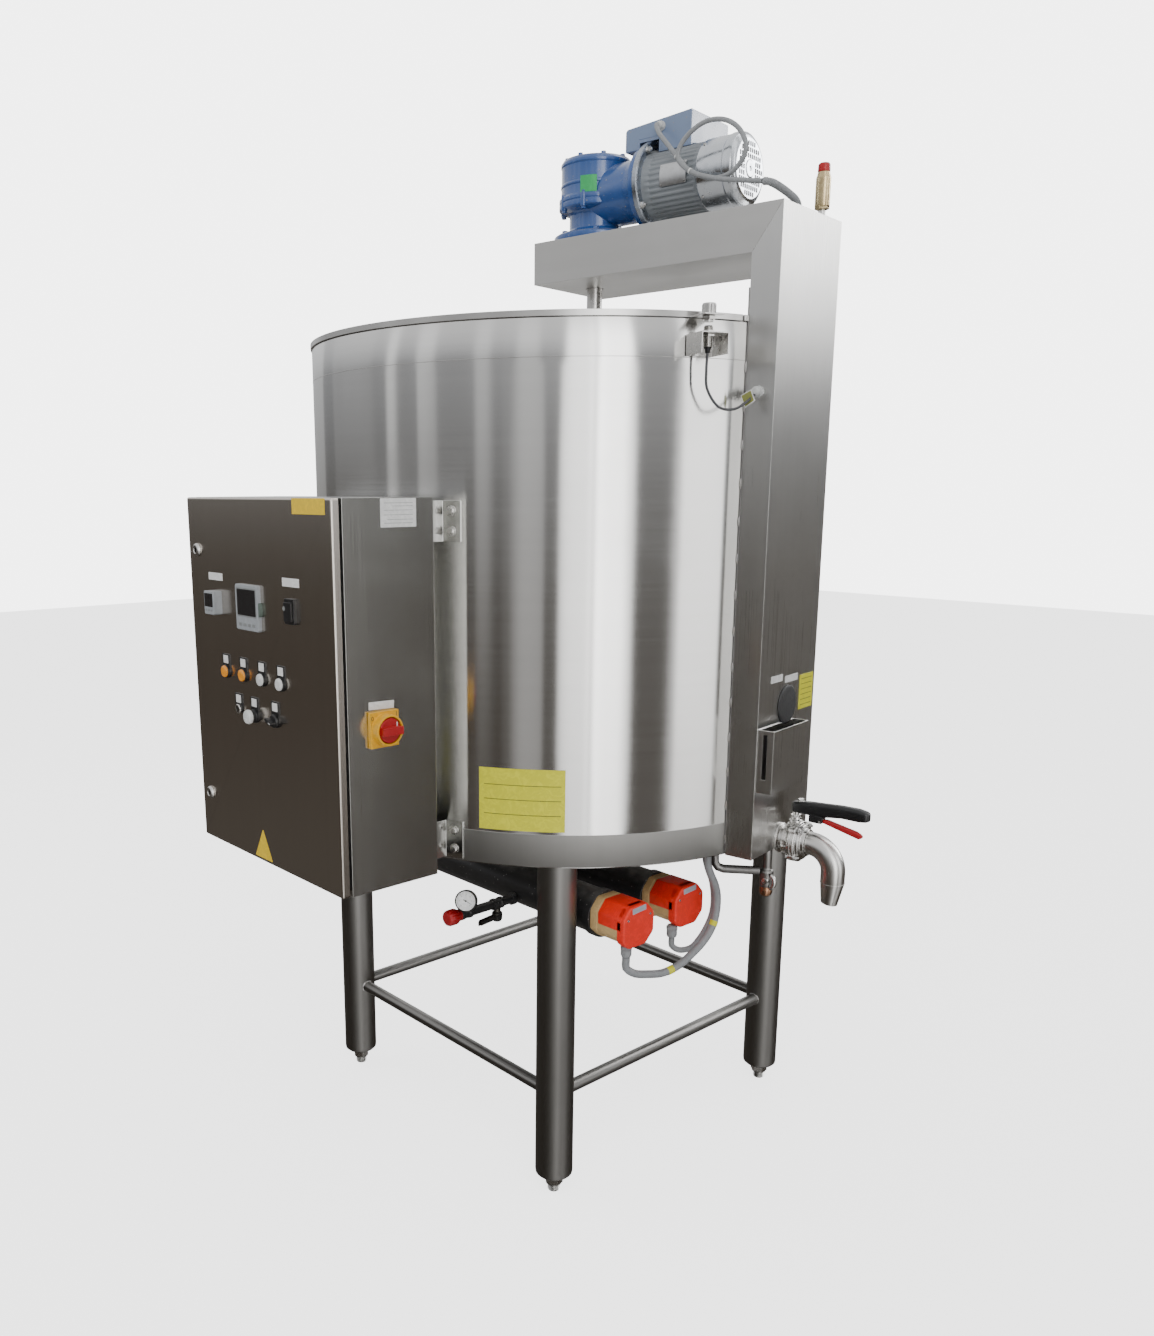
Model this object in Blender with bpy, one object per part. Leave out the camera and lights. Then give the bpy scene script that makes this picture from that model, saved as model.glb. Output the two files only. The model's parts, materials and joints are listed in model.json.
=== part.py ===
"""Batch pasteurizer: a jacketed round tank on four legs with an agitator arm, a switch cabinet, immersion
heaters below and a butterfly valve outlet. Metres, +Z up, feet on z = 0.

The tank frame has its origin on the floor under the tank's axis, and ROOT shifts it so that the middle of the
whole machine's outline is over the origin. The ARM frame is the tank frame turned by ARM_TURN about Z: the
column, the beam, the drive and the outlet lie square to it.
"""
import math

import bmesh
import bpy
import numpy as np
from mathutils import Matrix, Vector

# whole machine
CENTRE = (0.1204, -0.1439)
ARM_TURN = 0.1547
GAP = 0.0003

# legs and braces
LEG_AT = 0.4033
LEG_R = 0.04445
LEG_TOP = 0.8237
BRACE_R = 0.015
BRACE_Z = 0.249

# tank
TANK_R = 0.630
TANK_BORE = 0.572
TANK_Z = (0.824, 1.962)
FLOOR_Z = (0.8262, 0.850, 0.876)
LID_R = 0.633
LID_Z = (1.9623, 1.975)
LID_SPLIT = (-0.2005, -0.2055)
LID_HINGE = (-0.203, 1.980)

# lid sensor, in the arm frame
SENSOR_R = 0.662
SENSOR_TURN = math.atan2(-0.315, 0.583)

# arm, in the arm frame
COL_X = (0.603, 0.668)
COL_Y = (-0.190, 0.082)
COL_Z = (0.8235, 2.185)
BEAM_X = 0.048
BEAM_Z = 2.094
AXIS = (0.1234, -0.0537)
SHAFT_R = 0.018
SHAFT_Z = (0.925, 2.185)
BLADE_R = 0.230

# drive, in the arm frame
MOTOR_Z = 2.290
MOTOR_X = (0.2820, 0.2950, 0.4267, 0.519)
BOX_Y = (-0.085, 0.075)

# cabinet
CAB_X = (-0.313, 0.287)
CAB_Y = (-0.896, -0.8717, -0.6514)
CAB_Z = (0.817, 1.617)
DOOR_BACK = -0.8785
DOOR_AXIS = (0.281, -0.887)
WALL = 0.003
LUG_X = 0.238
LUG_FLANGE = 0.038
LUG_THICK = 0.004
RIM = 0.018

# heaters under the tank
HEAT_Z = 0.682
HEAT_Y = (-0.294, -0.111)
HEAT_X = (-0.420, 0.450, 0.474, 0.553)
HEAT_BACK = (0.0, -0.008)
CAP_HALF = 0.050
GLAND_AT = (-0.021, -0.039)
PRESSURE_LINE = (0.1955, -0.3454, -0.5165, 0.660)
GAUGE_AT = (0.239, -0.5335, 0.711)
COCK_Y = -0.400

# outlet, in the arm frame
OUT_Y = -0.050
OUT_Z = 0.845
HANDLE_AT = (0.704, 0.928)
SPOUT_SEAM_Z = 0.765
SPOUT_MOUTH = (0.0046, 0.7155)

STEEL = ("brushed_steel", (0.62, 0.62, 0.61), 1.0, 0.32)
DARK_STEEL = ("dark_steel", (0.20, 0.20, 0.21), 1.0, 0.45)
BLUE = ("blue_paint", (0.03, 0.10, 0.42), 0.0, 0.35)
GREY_BLUE = ("grey_blue_paint", (0.22, 0.30, 0.45), 0.0, 0.45)
DARK_GREY = ("dark_grey_paint", (0.16, 0.16, 0.17), 0.0, 0.5)
ALLOY = ("cast_alloy", (0.75, 0.75, 0.74), 1.0, 0.4)
BRASS = ("brass", (0.75, 0.55, 0.28), 1.0, 0.35)
BLACK = ("black_plastic", (0.02, 0.02, 0.02), 0.0, 0.4)
LIGHT = ("light_grey_plastic", (0.62, 0.62, 0.62), 0.0, 0.45)
ORANGE = ("orange_plastic", (0.85, 0.20, 0.06), 0.0, 0.4)
AMBER = ("amber_lens", (0.95, 0.45, 0.03), 0.0, 0.25)
WHITE = ("white_lens", (0.85, 0.85, 0.83), 0.0, 0.25)
YELLOW = ("yellow_plastic", (0.95, 0.70, 0.02), 0.0, 0.4)
RED = ("red_plastic", (0.65, 0.04, 0.03), 0.0, 0.4)
CABLE = ("grey_cable", (0.30, 0.30, 0.31), 0.0, 0.55)


def clear_scene():
    for thing in list(bpy.data.objects):
        bpy.data.objects.remove(thing, do_unlink=True)


def material(finish):
    name, colour, metal, rough = finish
    found = bpy.data.materials.get(name)
    if found:
        return found
    made = bpy.data.materials.new(name)
    made.use_nodes = True
    shader = made.node_tree.nodes["Principled BSDF"]
    shader.inputs["Base Color"].default_value = (*colour, 1.0)
    shader.inputs["Metallic"].default_value = metal
    shader.inputs["Roughness"].default_value = rough
    return made


def empty(name, location=(0, 0, 0), turn=0.0, parent=None):
    made = bpy.data.objects.new(name, None)
    made.location = location
    made.rotation_euler = (0, 0, turn)
    made.parent = parent
    bpy.context.scene.collection.objects.link(made)
    return made


def add(name, verts, faces, finish, parent, at=(0, 0, 0), spin=(0, 0, 0), smooth=False):
    """One closed body, faces turned outward, with its own finish."""
    mesh = bpy.data.meshes.new(name)
    mesh.from_pydata([tuple(v) for v in verts], [], [tuple(f) for f in faces])
    work = bmesh.new()
    work.from_mesh(mesh)
    bmesh.ops.remove_doubles(work, verts=work.verts, dist=1e-6)
    bmesh.ops.recalc_face_normals(work, faces=work.faces)
    work.to_mesh(mesh)
    work.free()
    made = bpy.data.objects.new(name, mesh)
    made.location = at
    made.rotation_euler = spin
    made.parent = parent
    bpy.context.scene.collection.objects.link(made)
    if finish:
        mesh.materials.append(material(finish))
    if smooth:
        mesh.shade_smooth()
        mesh.set_sharp_from_angle(angle=math.radians(35))
    return made


def lathe(name, profile, finish, parent, at=(0, 0, 0), spin=(0, 0, 0), count=48, turn=0.0):
    """Closed profile of (radius, height) turned about local Z."""
    verts, rings = [], []
    for radius, height in profile:
        if radius < 1e-9:
            rings.append([len(verts)])
            verts.append((0.0, 0.0, height))
            continue
        rings.append(list(range(len(verts), len(verts) + count)))
        angle = turn + np.arange(count) * 2 * math.pi / count
        verts += list(np.stack([radius * np.cos(angle), radius * np.sin(angle), np.full(count, height)], 1))
    faces = []
    for low, high in zip(rings, rings[1:] + rings[:1]):
        if len(low) == 1 and len(high) == 1:
            continue
        for i in range(count):
            j = (i + 1) % count
            if len(low) == 1:
                faces.append((low[0], high[i], high[j]))
            elif len(high) == 1:
                faces.append((low[i], low[j], high[0]))
            else:
                faces.append((low[i], low[j], high[j], high[i]))
    return add(name, verts, faces, finish, parent, at, spin, smooth=True)


def prism(name, outline, low, high, finish, parent, at=(0, 0, 0), spin=(0, 0, 0), axis="z", smooth=False):
    """A flat outline carried from low to high along one axis."""
    count = len(outline)
    verts = []
    for height in (low, high):
        for a, b in outline:
            verts.append({"z": (a, b, height), "y": (a, height, b), "x": (height, a, b)}[axis])
    faces = [tuple(range(count)), tuple(range(count, 2 * count))]
    faces += [(i, (i + 1) % count, count + (i + 1) % count, count + i) for i in range(count)]
    return add(name, verts, faces, finish, parent, at, spin, smooth)


def block(name, x, y, z, finish, parent, at=(0, 0, 0), spin=(0, 0, 0)):
    outline = [(x[0], y[0]), (x[1], y[0]), (x[1], y[1]), (x[0], y[1])]
    return prism(name, outline, z[0], z[1], finish, parent, at, spin)


def rod(name, start, end, radius, finish, parent, count=24):
    """A plain round bar between two points."""
    start, end = Vector(start), Vector(end)
    along = end - start
    made = lathe(name, [(0, 0), (radius, 0), (radius, along.length), (0, along.length)], finish, parent,
                 at=start, count=count)
    made.rotation_mode = "QUATERNION"
    made.rotation_quaternion = along.to_track_quat("Z", "Y")
    return made


def frames(points):
    """Turning-free frames along a line of points."""
    points = np.asarray(points, float)
    tangent = np.gradient(points, axis=0)
    tangent /= np.linalg.norm(tangent, axis=1)[:, None]
    side = np.cross(tangent[0], (0, 0, 1) if abs(tangent[0][2]) < 0.9 else (1, 0, 0))
    sides = []
    for t in tangent:
        side = side - t * (side @ t)
        side /= np.linalg.norm(side)
        sides.append(side.copy())
    sides = np.array(sides)
    return points, tangent, sides, np.cross(tangent, sides)


def bent_pipe(name, points, outer, bore, finish, parent, count=24, cut=0.0):
    """A pipe along points with an open bore.

    The outer and bore radii may change from point to point, and cut leans the pipe's last end.
    """
    points, tangent, side, up = frames(points)
    angle = np.arange(count) * 2 * math.pi / count
    skins = []
    for radius in (outer, bore):
        radius = np.broadcast_to(radius, (len(points),))[:, None, None]
        ring = (points[:, None] + radius * (np.cos(angle)[None, :, None] * side[:, None]
                                            + np.sin(angle)[None, :, None] * up[:, None]))
        lean = np.einsum("kj,j->k", ring[-1] - points[-1], np.array([1.0, 0.0, 0.0])) * cut
        ring[-1] += lean[:, None] * tangent[-1]
        skins.append(ring.reshape(-1, 3))
    rows = len(points)
    verts = np.concatenate(skins)
    half = rows * count
    faces = []
    for skin in (0, half):
        for r in range(rows - 1):
            for i in range(count):
                j = (i + 1) % count
                faces.append((skin + r * count + i, skin + r * count + j,
                              skin + (r + 1) * count + j, skin + (r + 1) * count + i))
    for r in (0, rows - 1):
        for i in range(count):
            j = (i + 1) % count
            faces.append((r * count + i, r * count + j, half + r * count + j, half + r * count + i))
    return add(name, verts, faces, finish, parent, smooth=True)


def smooth_route(route, step):
    """Points a fixed step apart on a smooth curve through the route."""
    route = np.asarray(route, float)
    if len(route) > 2:
        length = np.concatenate([[0], np.cumsum(np.linalg.norm(np.diff(route, axis=0), axis=1) ** 0.5)])
        ghost = np.concatenate([[2 * route[0] - route[1]], route, [2 * route[-1] - route[-2]]])
        knots = np.concatenate([[-length[1]], length, [2 * length[-1] - length[-2]]])
        fine = []
        for i in range(1, len(ghost) - 2):
            t = np.linspace(knots[i], knots[i + 1], 24, endpoint=i == len(ghost) - 3)[:, None]
            a1 = ((knots[i] - t) * ghost[i - 1] + (t - knots[i - 1]) * ghost[i]) / (knots[i] - knots[i - 1])
            a2 = ((knots[i + 1] - t) * ghost[i] + (t - knots[i]) * ghost[i + 1]) / (knots[i + 1] - knots[i])
            a3 = ((knots[i + 2] - t) * ghost[i + 1] + (t - knots[i + 1]) * ghost[i + 2]) \
                / (knots[i + 2] - knots[i + 1])
            b1 = ((knots[i + 1] - t) * a1 + (t - knots[i - 1]) * a2) / (knots[i + 1] - knots[i - 1])
            b2 = ((knots[i + 2] - t) * a2 + (t - knots[i]) * a3) / (knots[i + 2] - knots[i])
            fine.append(((knots[i + 1] - t) * b1 + (t - knots[i]) * b2) / (knots[i + 1] - knots[i]))
        route = np.concatenate(fine)
    along = np.concatenate([[0], np.cumsum(np.linalg.norm(np.diff(route, axis=0), axis=1))])
    count = max(2, int(round(along[-1] / step)) + 1)
    at = np.linspace(0, along[-1], count)
    return np.stack([np.interp(at, along, route[:, k]) for k in range(3)], 1)


def cord(name, route, radius, finish, parent, resolution=2, step=None):
    """A filled cable along a smooth curve through the route points."""
    points = smooth_route(route, step or max(radius * 3, 0.012))
    data = bpy.data.curves.new(name, "CURVE")
    data.dimensions = "3D"
    data.bevel_depth = radius
    data.bevel_resolution = resolution
    data.use_fill_caps = True
    line = data.splines.new("POLY")
    line.points.add(len(points) - 1)
    line.points.foreach_set("co", np.concatenate([points, np.ones((len(points), 1))], 1).ravel())
    data.materials.append(material(finish))
    made = bpy.data.objects.new(name, data)
    made.parent = parent
    bpy.context.scene.collection.objects.link(made)
    return made


def boolean(target, tool, operation):
    tool.hide_render = True
    tool.display_type = "WIRE"
    step = target.modifiers.new(operation.lower() + "_" + tool.name, "BOOLEAN")
    step.operation = operation
    step.solver = "EXACT"
    step.object = tool


def circle(radius, start, end, count, centre=(0.0, 0.0)):
    angle = np.linspace(start, end, count)
    return [(centre[0] + radius * math.cos(a), centre[1] + radius * math.sin(a)) for a in angle]


def legs(root):
    profile = [(0, 0), (0.0125, 0), (0.0138, 0.002), (0.0138, 0.017), (0.019, 0.019), (0.019, 0.041),
               (0.037, 0.044), (0.0435, 0.050), (LEG_R, 0.056), (LEG_R, LEG_TOP), (0, LEG_TOP)]
    spots = {"front": (1, -1), "right": (1, 1), "back": (-1, 1), "left": (-1, -1)}
    for word, (sx, sy) in spots.items():
        lathe("leg_" + word, profile, STEEL, root, at=(sx * LEG_AT, sy * LEG_AT, 0))
    for word, turn in (("front", -90), ("right", 0), ("back", 90), ("left", 180)):
        brace("brace_" + word, math.radians(turn), root)


def brace(name, turn, root):
    """Lies along local Y at x = LEG_AT, its ends hollowed to the round legs."""
    count = 24
    angle = np.arange(count) * 2 * math.pi / count
    verts, rings = [], []
    for sign in (-1, 1):
        shells = (0.0, 0.33, 0.66, 1.0) if sign < 0 else (1.0, 0.66, 0.33, 0.0)
        for scale in shells:
            across = BRACE_R * scale * np.cos(angle)
            up = BRACE_R * scale * np.sin(angle)
            reach = LEG_AT - np.sqrt((LEG_R + GAP) ** 2 - across ** 2)
            ring = np.stack([LEG_AT + across, sign * reach, BRACE_Z + up], 1)
            if scale == 0.0:
                rings.append([len(verts)])
                verts.append(ring[0])
            else:
                rings.append(list(range(len(verts), len(verts) + count)))
                verts += list(ring)
    faces = []
    for low, high in zip(rings[:-1], rings[1:]):
        for i in range(count):
            j = (i + 1) % count
            if len(low) == 1:
                faces.append((low[0], high[i], high[j]))
            elif len(high) == 1:
                faces.append((low[i], low[j], high[0]))
            else:
                faces.append((low[i], low[j], high[j], high[i]))
    add(name, verts, faces, STEEL, root, spin=(0, 0, turn), smooth=True)


def tank(root, arm):
    low, high = TANK_Z
    jacket = [(TANK_BORE, low), (TANK_R - 0.002, low), (TANK_R, low + 0.002), (TANK_R, high - 0.002),
              (TANK_R - 0.002, high), (TANK_BORE, high)]
    lathe("tank_jacket", jacket, STEEL, root, count=128)
    under, middle, rim = FLOOR_Z
    lathe("vessel_floor", [(0, under), (TANK_BORE - GAP, under), (TANK_BORE - GAP, rim), (0, middle)],
          STEEL, root, count=96)
    lids(arm)


def lids(arm):
    rear, front = LID_SPLIT
    a = math.asin(rear / LID_R)
    outline = circle(LID_R, a, math.pi - a, 97)
    lid = prism("lid_rear", outline, LID_Z[0], LID_Z[1], STEEL, arm, smooth=True)
    hole = lathe("cut_shaft_lid", [(0, 1.9), (SHAFT_R + 0.006, 1.9), (SHAFT_R + 0.006, 2.0), (0, 2.0)],
                 None, arm, at=(AXIS[0], AXIS[1], 0), count=32)
    boolean(lid, hole, "DIFFERENCE")
    b = math.asin(front / LID_R)
    outline = [(x, y - LID_HINGE[0]) for x, y in circle(LID_R, math.pi - b, 2 * math.pi + b, 73)]
    base = LID_HINGE[1]
    flap = prism("lid_front", outline, LID_Z[0] - base, LID_Z[1] - base, STEEL, arm,
                 at=(0, LID_HINGE[0], base), smooth=True)
    tab = block("add_lid_tab", (0.590, 0.684), (-0.0225, 0.0225), (LID_Z[0], LID_Z[0] + 0.003), None, arm,
                spin=(0, 0, SENSOR_TURN))
    stud = lathe("add_lid_stud", [(0, 1.950), (0.009, 1.950), (0.009, 1.965), (0.0135, 1.965),
                                  (0.0135, 1.984), (0.012, 1.986), (0, 1.986)], None, arm,
                 at=(SENSOR_R * math.cos(SENSOR_TURN), SENSOR_R * math.sin(SENSOR_TURN), 0), count=24)
    boolean(flap, tab, "UNION")
    boolean(flap, stud, "UNION")


def sensor(root, arm):
    """A channel bracket on the wall and the barrel that looks up at the lid's stud."""
    mid = Matrix.Rotation(SENSOR_TURN, 4, "Z")
    near, far = TANK_R + GAP, 0.690
    wide, thick = 0.031, 0.0025
    outline = [(near + 0.0015, -wide), (far, -wide), (far, -wide + thick), (near + 0.0040, -wide + thick),
               (near + 0.0040, wide - thick), (far, wide - thick), (far, wide), (near + 0.0015, wide)]
    walls = prism("sensor_bracket", outline, 1.889, 1.9302, STEEL, arm, spin=(0, 0, SENSOR_TURN))
    top = block("add_bracket_top", (near + 0.0015, far), (-wide, wide), (1.9277, 1.9302), None, arm,
                spin=(0, 0, SENSOR_TURN))
    hole = lathe("cut_bracket_hole", [(0, 1.92), (0.0093, 1.92), (0.0093, 1.940), (0, 1.940)], None, arm,
                 at=mid @ Vector((SENSOR_R, 0, 0)), count=32)
    boolean(walls, top, "UNION")
    boolean(walls, hole, "DIFFERENCE")
    lathe("lid_sensor", [(0, 1.892), (0.0045, 1.892), (0.0055, 1.902), (0.009, 1.903), (0.009, 1.9232),
                         (0.0125, 1.9232), (0.0125, 1.9274), (0.009, 1.9274), (0.009, 1.9440), (0, 1.9440)],
          DARK_STEEL, arm, at=mid @ Vector((SENSOR_R, 0, 0)), count=32)


def arm_frame(arm):
    """Column and beam of folded sheet, met in a mitre."""
    x0, x1 = COL_X
    y0, y1 = COL_Y
    z0, z1 = COL_Z
    shift = GAP * 0.8
    column = prism("arm_column", [(x0, z0), (x1, z0), (x1, z1 - shift), (x0, BEAM_Z - shift)], y0, y1,
                   STEEL, arm, axis="y")
    wall = lathe("cut_column_wall", [(0, 0.7), (LID_R + GAP, 0.7), (LID_R + GAP, LID_Z[1] + GAP),
                                     (0, LID_Z[1] + GAP)], None, arm, count=128)
    boolean(column, wall, "DIFFERENCE")
    beam = prism("arm_beam", [(BEAM_X, BEAM_Z), (x0, BEAM_Z), (x1, z1), (BEAM_X, z1)], y0, y1,
                 STEEL, arm, axis="y")
    bore = lathe("cut_beam_bore", [(0, 2.0), (SHAFT_R + 0.003, 2.0), (SHAFT_R + 0.003, 2.25), (0, 2.25)],
                 None, arm, at=(AXIS[0], AXIS[1], 0), count=32)
    boolean(beam, bore, "DIFFERENCE")
    pocket(arm)
    lathe("column_disc", [(0, 0), (0.050, 0), (0.050, 0.004), (0.047, 0.006), (0, 0.006)], BLACK, arm,
          at=(x1 + GAP, -0.060, 1.172), spin=(0, math.pi / 2, 0))


def pocket(arm):
    """Open-topped sheet holder on the column's outer face."""
    x = COL_X[1] + GAP
    holder = block("column_pocket", (x, x + 0.0375), (-0.187, -0.020), (0.980, 1.120), STEEL, arm)
    inside = block("cut_pocket", (x + 0.0025, x + 0.035), (-0.1845, -0.0225), (0.9825, 1.2), None, arm)
    slot = block("cut_pocket_slot", (x + 0.0125, x + 0.0225), (-0.2, -0.18), (1.011, 1.111), None, arm)
    boolean(holder, inside, "DIFFERENCE")
    boolean(holder, slot, "DIFFERENCE")


def drive(arm):
    """Agitator, gearbox, motor with its fan cover and the box on top."""
    low, high = SHAFT_Z
    profile = [(0, low), (SHAFT_R, low), (SHAFT_R, high), (0, high)]
    shaft = lathe("agitator", profile, STEEL, arm, at=(AXIS[0], AXIS[1], 0), count=32)
    for number in range(2):
        blade = block("add_blade_%d" % number, (-BLADE_R, BLADE_R), (-0.004, 0.004),
                      (0.945, 1.035), None, shaft, spin=(0, 0, number * math.pi / 2 + 0.4))
        boolean(shaft, blade, "UNION")
    top = COL_Z[1] + GAP
    profile = [(0, top), (0.098, top), (0.098, 2.208), (0.064, 2.214), (0.061, 2.262), (0.086, 2.268),
               (0.086, 2.296), (0.0815, 2.300), (0.0815, 2.364), (0.076, 2.372), (0, 2.374)]
    gear = lathe("gearbox", profile, BLUE, arm, at=(AXIS[0], AXIS[1], 0), count=64)
    neck = lathe("add_gear_neck", [(0, 0.0), (0.070, 0.0), (0.070, 0.138), (0.088, 0.146), (0.088, 0.1583),
                                   (0, 0.1583)], None, arm,
                 at=(AXIS[0], AXIS[1], MOTOR_Z), spin=(0, math.pi / 2, 0), count=48)
    boolean(gear, neck, "UNION")
    a, b, c, d = MOTOR_X
    lathe("motor", [(0, a), (0.093, a), (0.094, a + 0.001), (0.094, b), (0.076, b + 0.001),
                    (0.070, b + 0.012), (0.070, c), (0, c)],
          DARK_GREY, arm, at=(0, AXIS[1], MOTOR_Z), spin=(0, math.pi / 2, 0), count=64)
    lathe("fan_cover", [(0, c + GAP), (0.070, c + GAP), (0.0725, c + 0.004), (0.0725, d - 0.022),
                        (0.0745, d - 0.020), (0.0745, d - 0.008), (0.068, d), (0, d)],
          ALLOY, arm, at=(0, AXIS[1], MOTOR_Z), spin=(0, math.pi / 2, 0), count=64)
    drive_box(arm)


def drive_box(arm):
    """Sits on the motor, its underside hollowed to the motor's round."""
    outline = [(0.310, 2.335), (0.391, 2.335), (0.391, 2.426), (0.227, 2.414), (0.223, 2.409),
               (0.223, 2.366), (0.2605, 2.366), (0.2605, 2.386), (0.310, 2.386)]
    box = prism("drive_box", outline, BOX_Y[0], BOX_Y[1], GREY_BLUE, arm, axis="y")
    round_tool = lathe("cut_box_seat", [(0, 0.2), (0.0703, 0.2), (0.0703, 0.6), (0, 0.6)], None, arm,
                       at=(0, AXIS[1], MOTOR_Z), spin=(0, math.pi / 2, 0), count=64)
    boolean(box, round_tool, "DIFFERENCE")


def relief_valve(arm):
    top = COL_Z[1]
    lathe("column_valve", [(0, 0), (0.008, 0), (0.008, 0.024), (0.016, 0.026), (0.016, 0.094),
                           (0.013, 0.098), (0.013, 0.114), (0, 0.116)],
          BRASS, arm, at=(0.635, 0.052, top + GAP), count=24)


def cabinet(root):
    """Sheet steel switch cabinet with a door hinged at its right."""
    x0, x1 = CAB_X
    front, face, back = CAB_Y
    z0, z1 = CAB_Z
    body = block("cabinet_body", (x0, x1), (face, back), (z0, z1), STEEL, root)
    inside = block("cut_cabinet", (x0 + WALL, x1 - WALL), (face + WALL, back - WALL),
                   (z0 + WALL, z1 - WALL), None, root)
    doorway = block("cut_doorway", (x0 + RIM, x1 - RIM), (face - 0.01, face + 0.02),
                    (z0 + RIM, z1 - RIM), None, root)
    boolean(body, inside, "DIFFERENCE")
    boolean(body, doorway, "DIFFERENCE")
    for side, x in (("right", LUG_X), ("left", -LUG_X)):
        for level, z in (("top", 1.524), ("foot", 0.830)):
            lug = cabinet_lug("add_lug_%s_%s" % (side, level), x, z, 0.085, root)
            boolean(body, lug, "UNION")
    door = empty("door_axis", (DOOR_AXIS[0], DOOR_AXIS[1], 0), parent=root)
    dx, dy = DOOR_AXIS
    slab = block("cabinet_door", (x0 - dx, x1 - dx), (front - dy, DOOR_BACK - dy), (z0, z1), STEEL, door)
    seal = block("add_door_seal", (x0 + 0.012 - dx, x1 - 0.012 - dx),
                 (DOOR_BACK - 0.003 - dy, face - GAP - dy),
                 (z0 + 0.012, z1 - 0.012), None, door)
    boolean(slab, seal, "UNION")
    door_fittings(door)
    main_switch(root)


def cabinet_lug(name, x, z, tall, root):
    """Angle plate from the cabinet's back to the tank, its flange turned outward against the wall."""
    sign = 1 if x > 0 else -1
    inner = x - sign * LUG_THICK
    back = CAB_Y[2] - 0.002

    def wall(at, off=GAP + 0.0002):
        return (at, -math.sqrt((TANK_R + off) ** 2 - at ** 2))

    along = [x + sign * reach for reach in (0.0, 0.019, LUG_FLANGE)]
    outline = [(inner, back), wall(inner)] + [wall(at) for at in along]
    outline += [wall(at, GAP + LUG_THICK) for at in reversed(along)] + [(x, back)]
    return prism(name, outline, z, z + tall, None, root)


def on_door(x, z):
    return (x - DOOR_AXIS[0], CAB_Y[0] - GAP - DOOR_AXIS[1], z)


def door_fittings(door):
    """Controllers, lamps and buttons on the door's face; local -Y is outward."""
    out = (math.pi / 2, 0, 0)
    block("main_controller", (-0.048, 0.048), (-0.008, 0), (-0.049, 0.049), LIGHT, door,
          at=on_door(-0.041, 1.386))
    block("small_controller", (-0.022, 0.022), (-0.021, 0), (-0.026, 0.026), LIGHT, door,
          at=on_door(-0.1885, 1.387))
    block("door_socket", (-0.018, 0.018), (-0.012, 0),
          (-0.026, 0.026), BLACK, door, at=on_door(0.132, 1.391))
    lamp = [(0, 0), (0.0148, 0), (0.0148, 0.003), (0.0130, 0.0045), (0.0130, 0.008), (0.010, 0.0105),
            (0, 0.011)]
    for number, (px, finish) in enumerate(((-0.157, AMBER), (-0.079, AMBER), (0.001, WHITE),
                                           (0.080, WHITE))):
        lathe("lamp_%d" % (number + 1), lamp, finish, door, at=on_door(px, 1.235), spin=out, count=24)
    lathe("push_button", [(0, 0), (0.0148, 0), (0.0148, 0.006), (0.011, 0.008), (0.011, 0.012),
                          (0.016, 0.014), (0.016, 0.021), (0.013, 0.024), (0, 0.0245)], WHITE, door,
          at=on_door(-0.038, 1.150), spin=out, count=24)
    selector = lathe("selector_switch", [(0, 0), (0.0148, 0), (0.0148, 0.008), (0.0125, 0.010), (0, 0.010)],
                     BLACK, door, at=on_door(0.050, 1.1525), spin=out, count=24)
    grip = block("add_selector_grip", (-0.0135, 0.0135), (-0.004, 0.004), (0.008, 0.022), None, selector)
    boolean(selector, grip, "UNION")


def main_switch(root):
    """Yellow plate with a collar on the cabinet's side and the red knob in it."""
    x = CAB_X[1] + GAP
    centre = (-0.7895, 1.159)
    plate = block("switch_plate", (0, 0.010), (-0.035, 0.035), (-0.037, 0.037), YELLOW, root,
                  at=(x, centre[0], centre[1]))
    collar = lathe("add_collar", [(0.0275, 0.008), (0.0320, 0.008), (0.0320, 0.030), (0.0275, 0.030)],
                   None, root, at=(x, centre[0], centre[1]), spin=(0, math.pi / 2, 0), count=48)
    boolean(plate, collar, "UNION")
    knob = lathe("switch_knob", [(0, 0.0103), (0.0260, 0.0103), (0.0260, 0.027), (0.0245, 0.029), (0, 0.029)],
                 RED, root, at=(x, centre[0], centre[1]), spin=(0, math.pi / 2, 0), count=48)
    grip = block("add_knob_grip", (-0.008, 0.008), (-0.0245, 0.0245), (0.027, 0.041), None, knob)
    boolean(knob, grip, "UNION")


def heaters(root):
    """Two long housings under the tank, each with a screwed-in heater's cap at its end."""
    a, b = HEAT_X[:2]
    for word, y, shift, gland in zip(("front", "rear"), HEAT_Y, HEAT_BACK, GLAND_AT):
        tube = lathe("heater_tube_" + word, [(0, a), (0.040, a + 0.006), (0.052, a + 0.022), (0.052, b - 0.02),
                                             (0.056, b - 0.02), (0.056, b), (0, b)],
                     DARK_STEEL, root, at=(shift, y, HEAT_Z), spin=(0, math.pi / 2, 0), count=48)
        for number, x in enumerate((-0.30, 0.30)):
            riser = rod("add_riser_%s_%d" % (word, number), (x, y, HEAT_Z + 0.03),
                        (x, y, FLOOR_Z[0] - GAP), 0.024, None, root)
            boolean(tube, riser, "UNION")
        heater_cap(word, (shift, y, HEAT_Z), gland, root)


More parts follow.
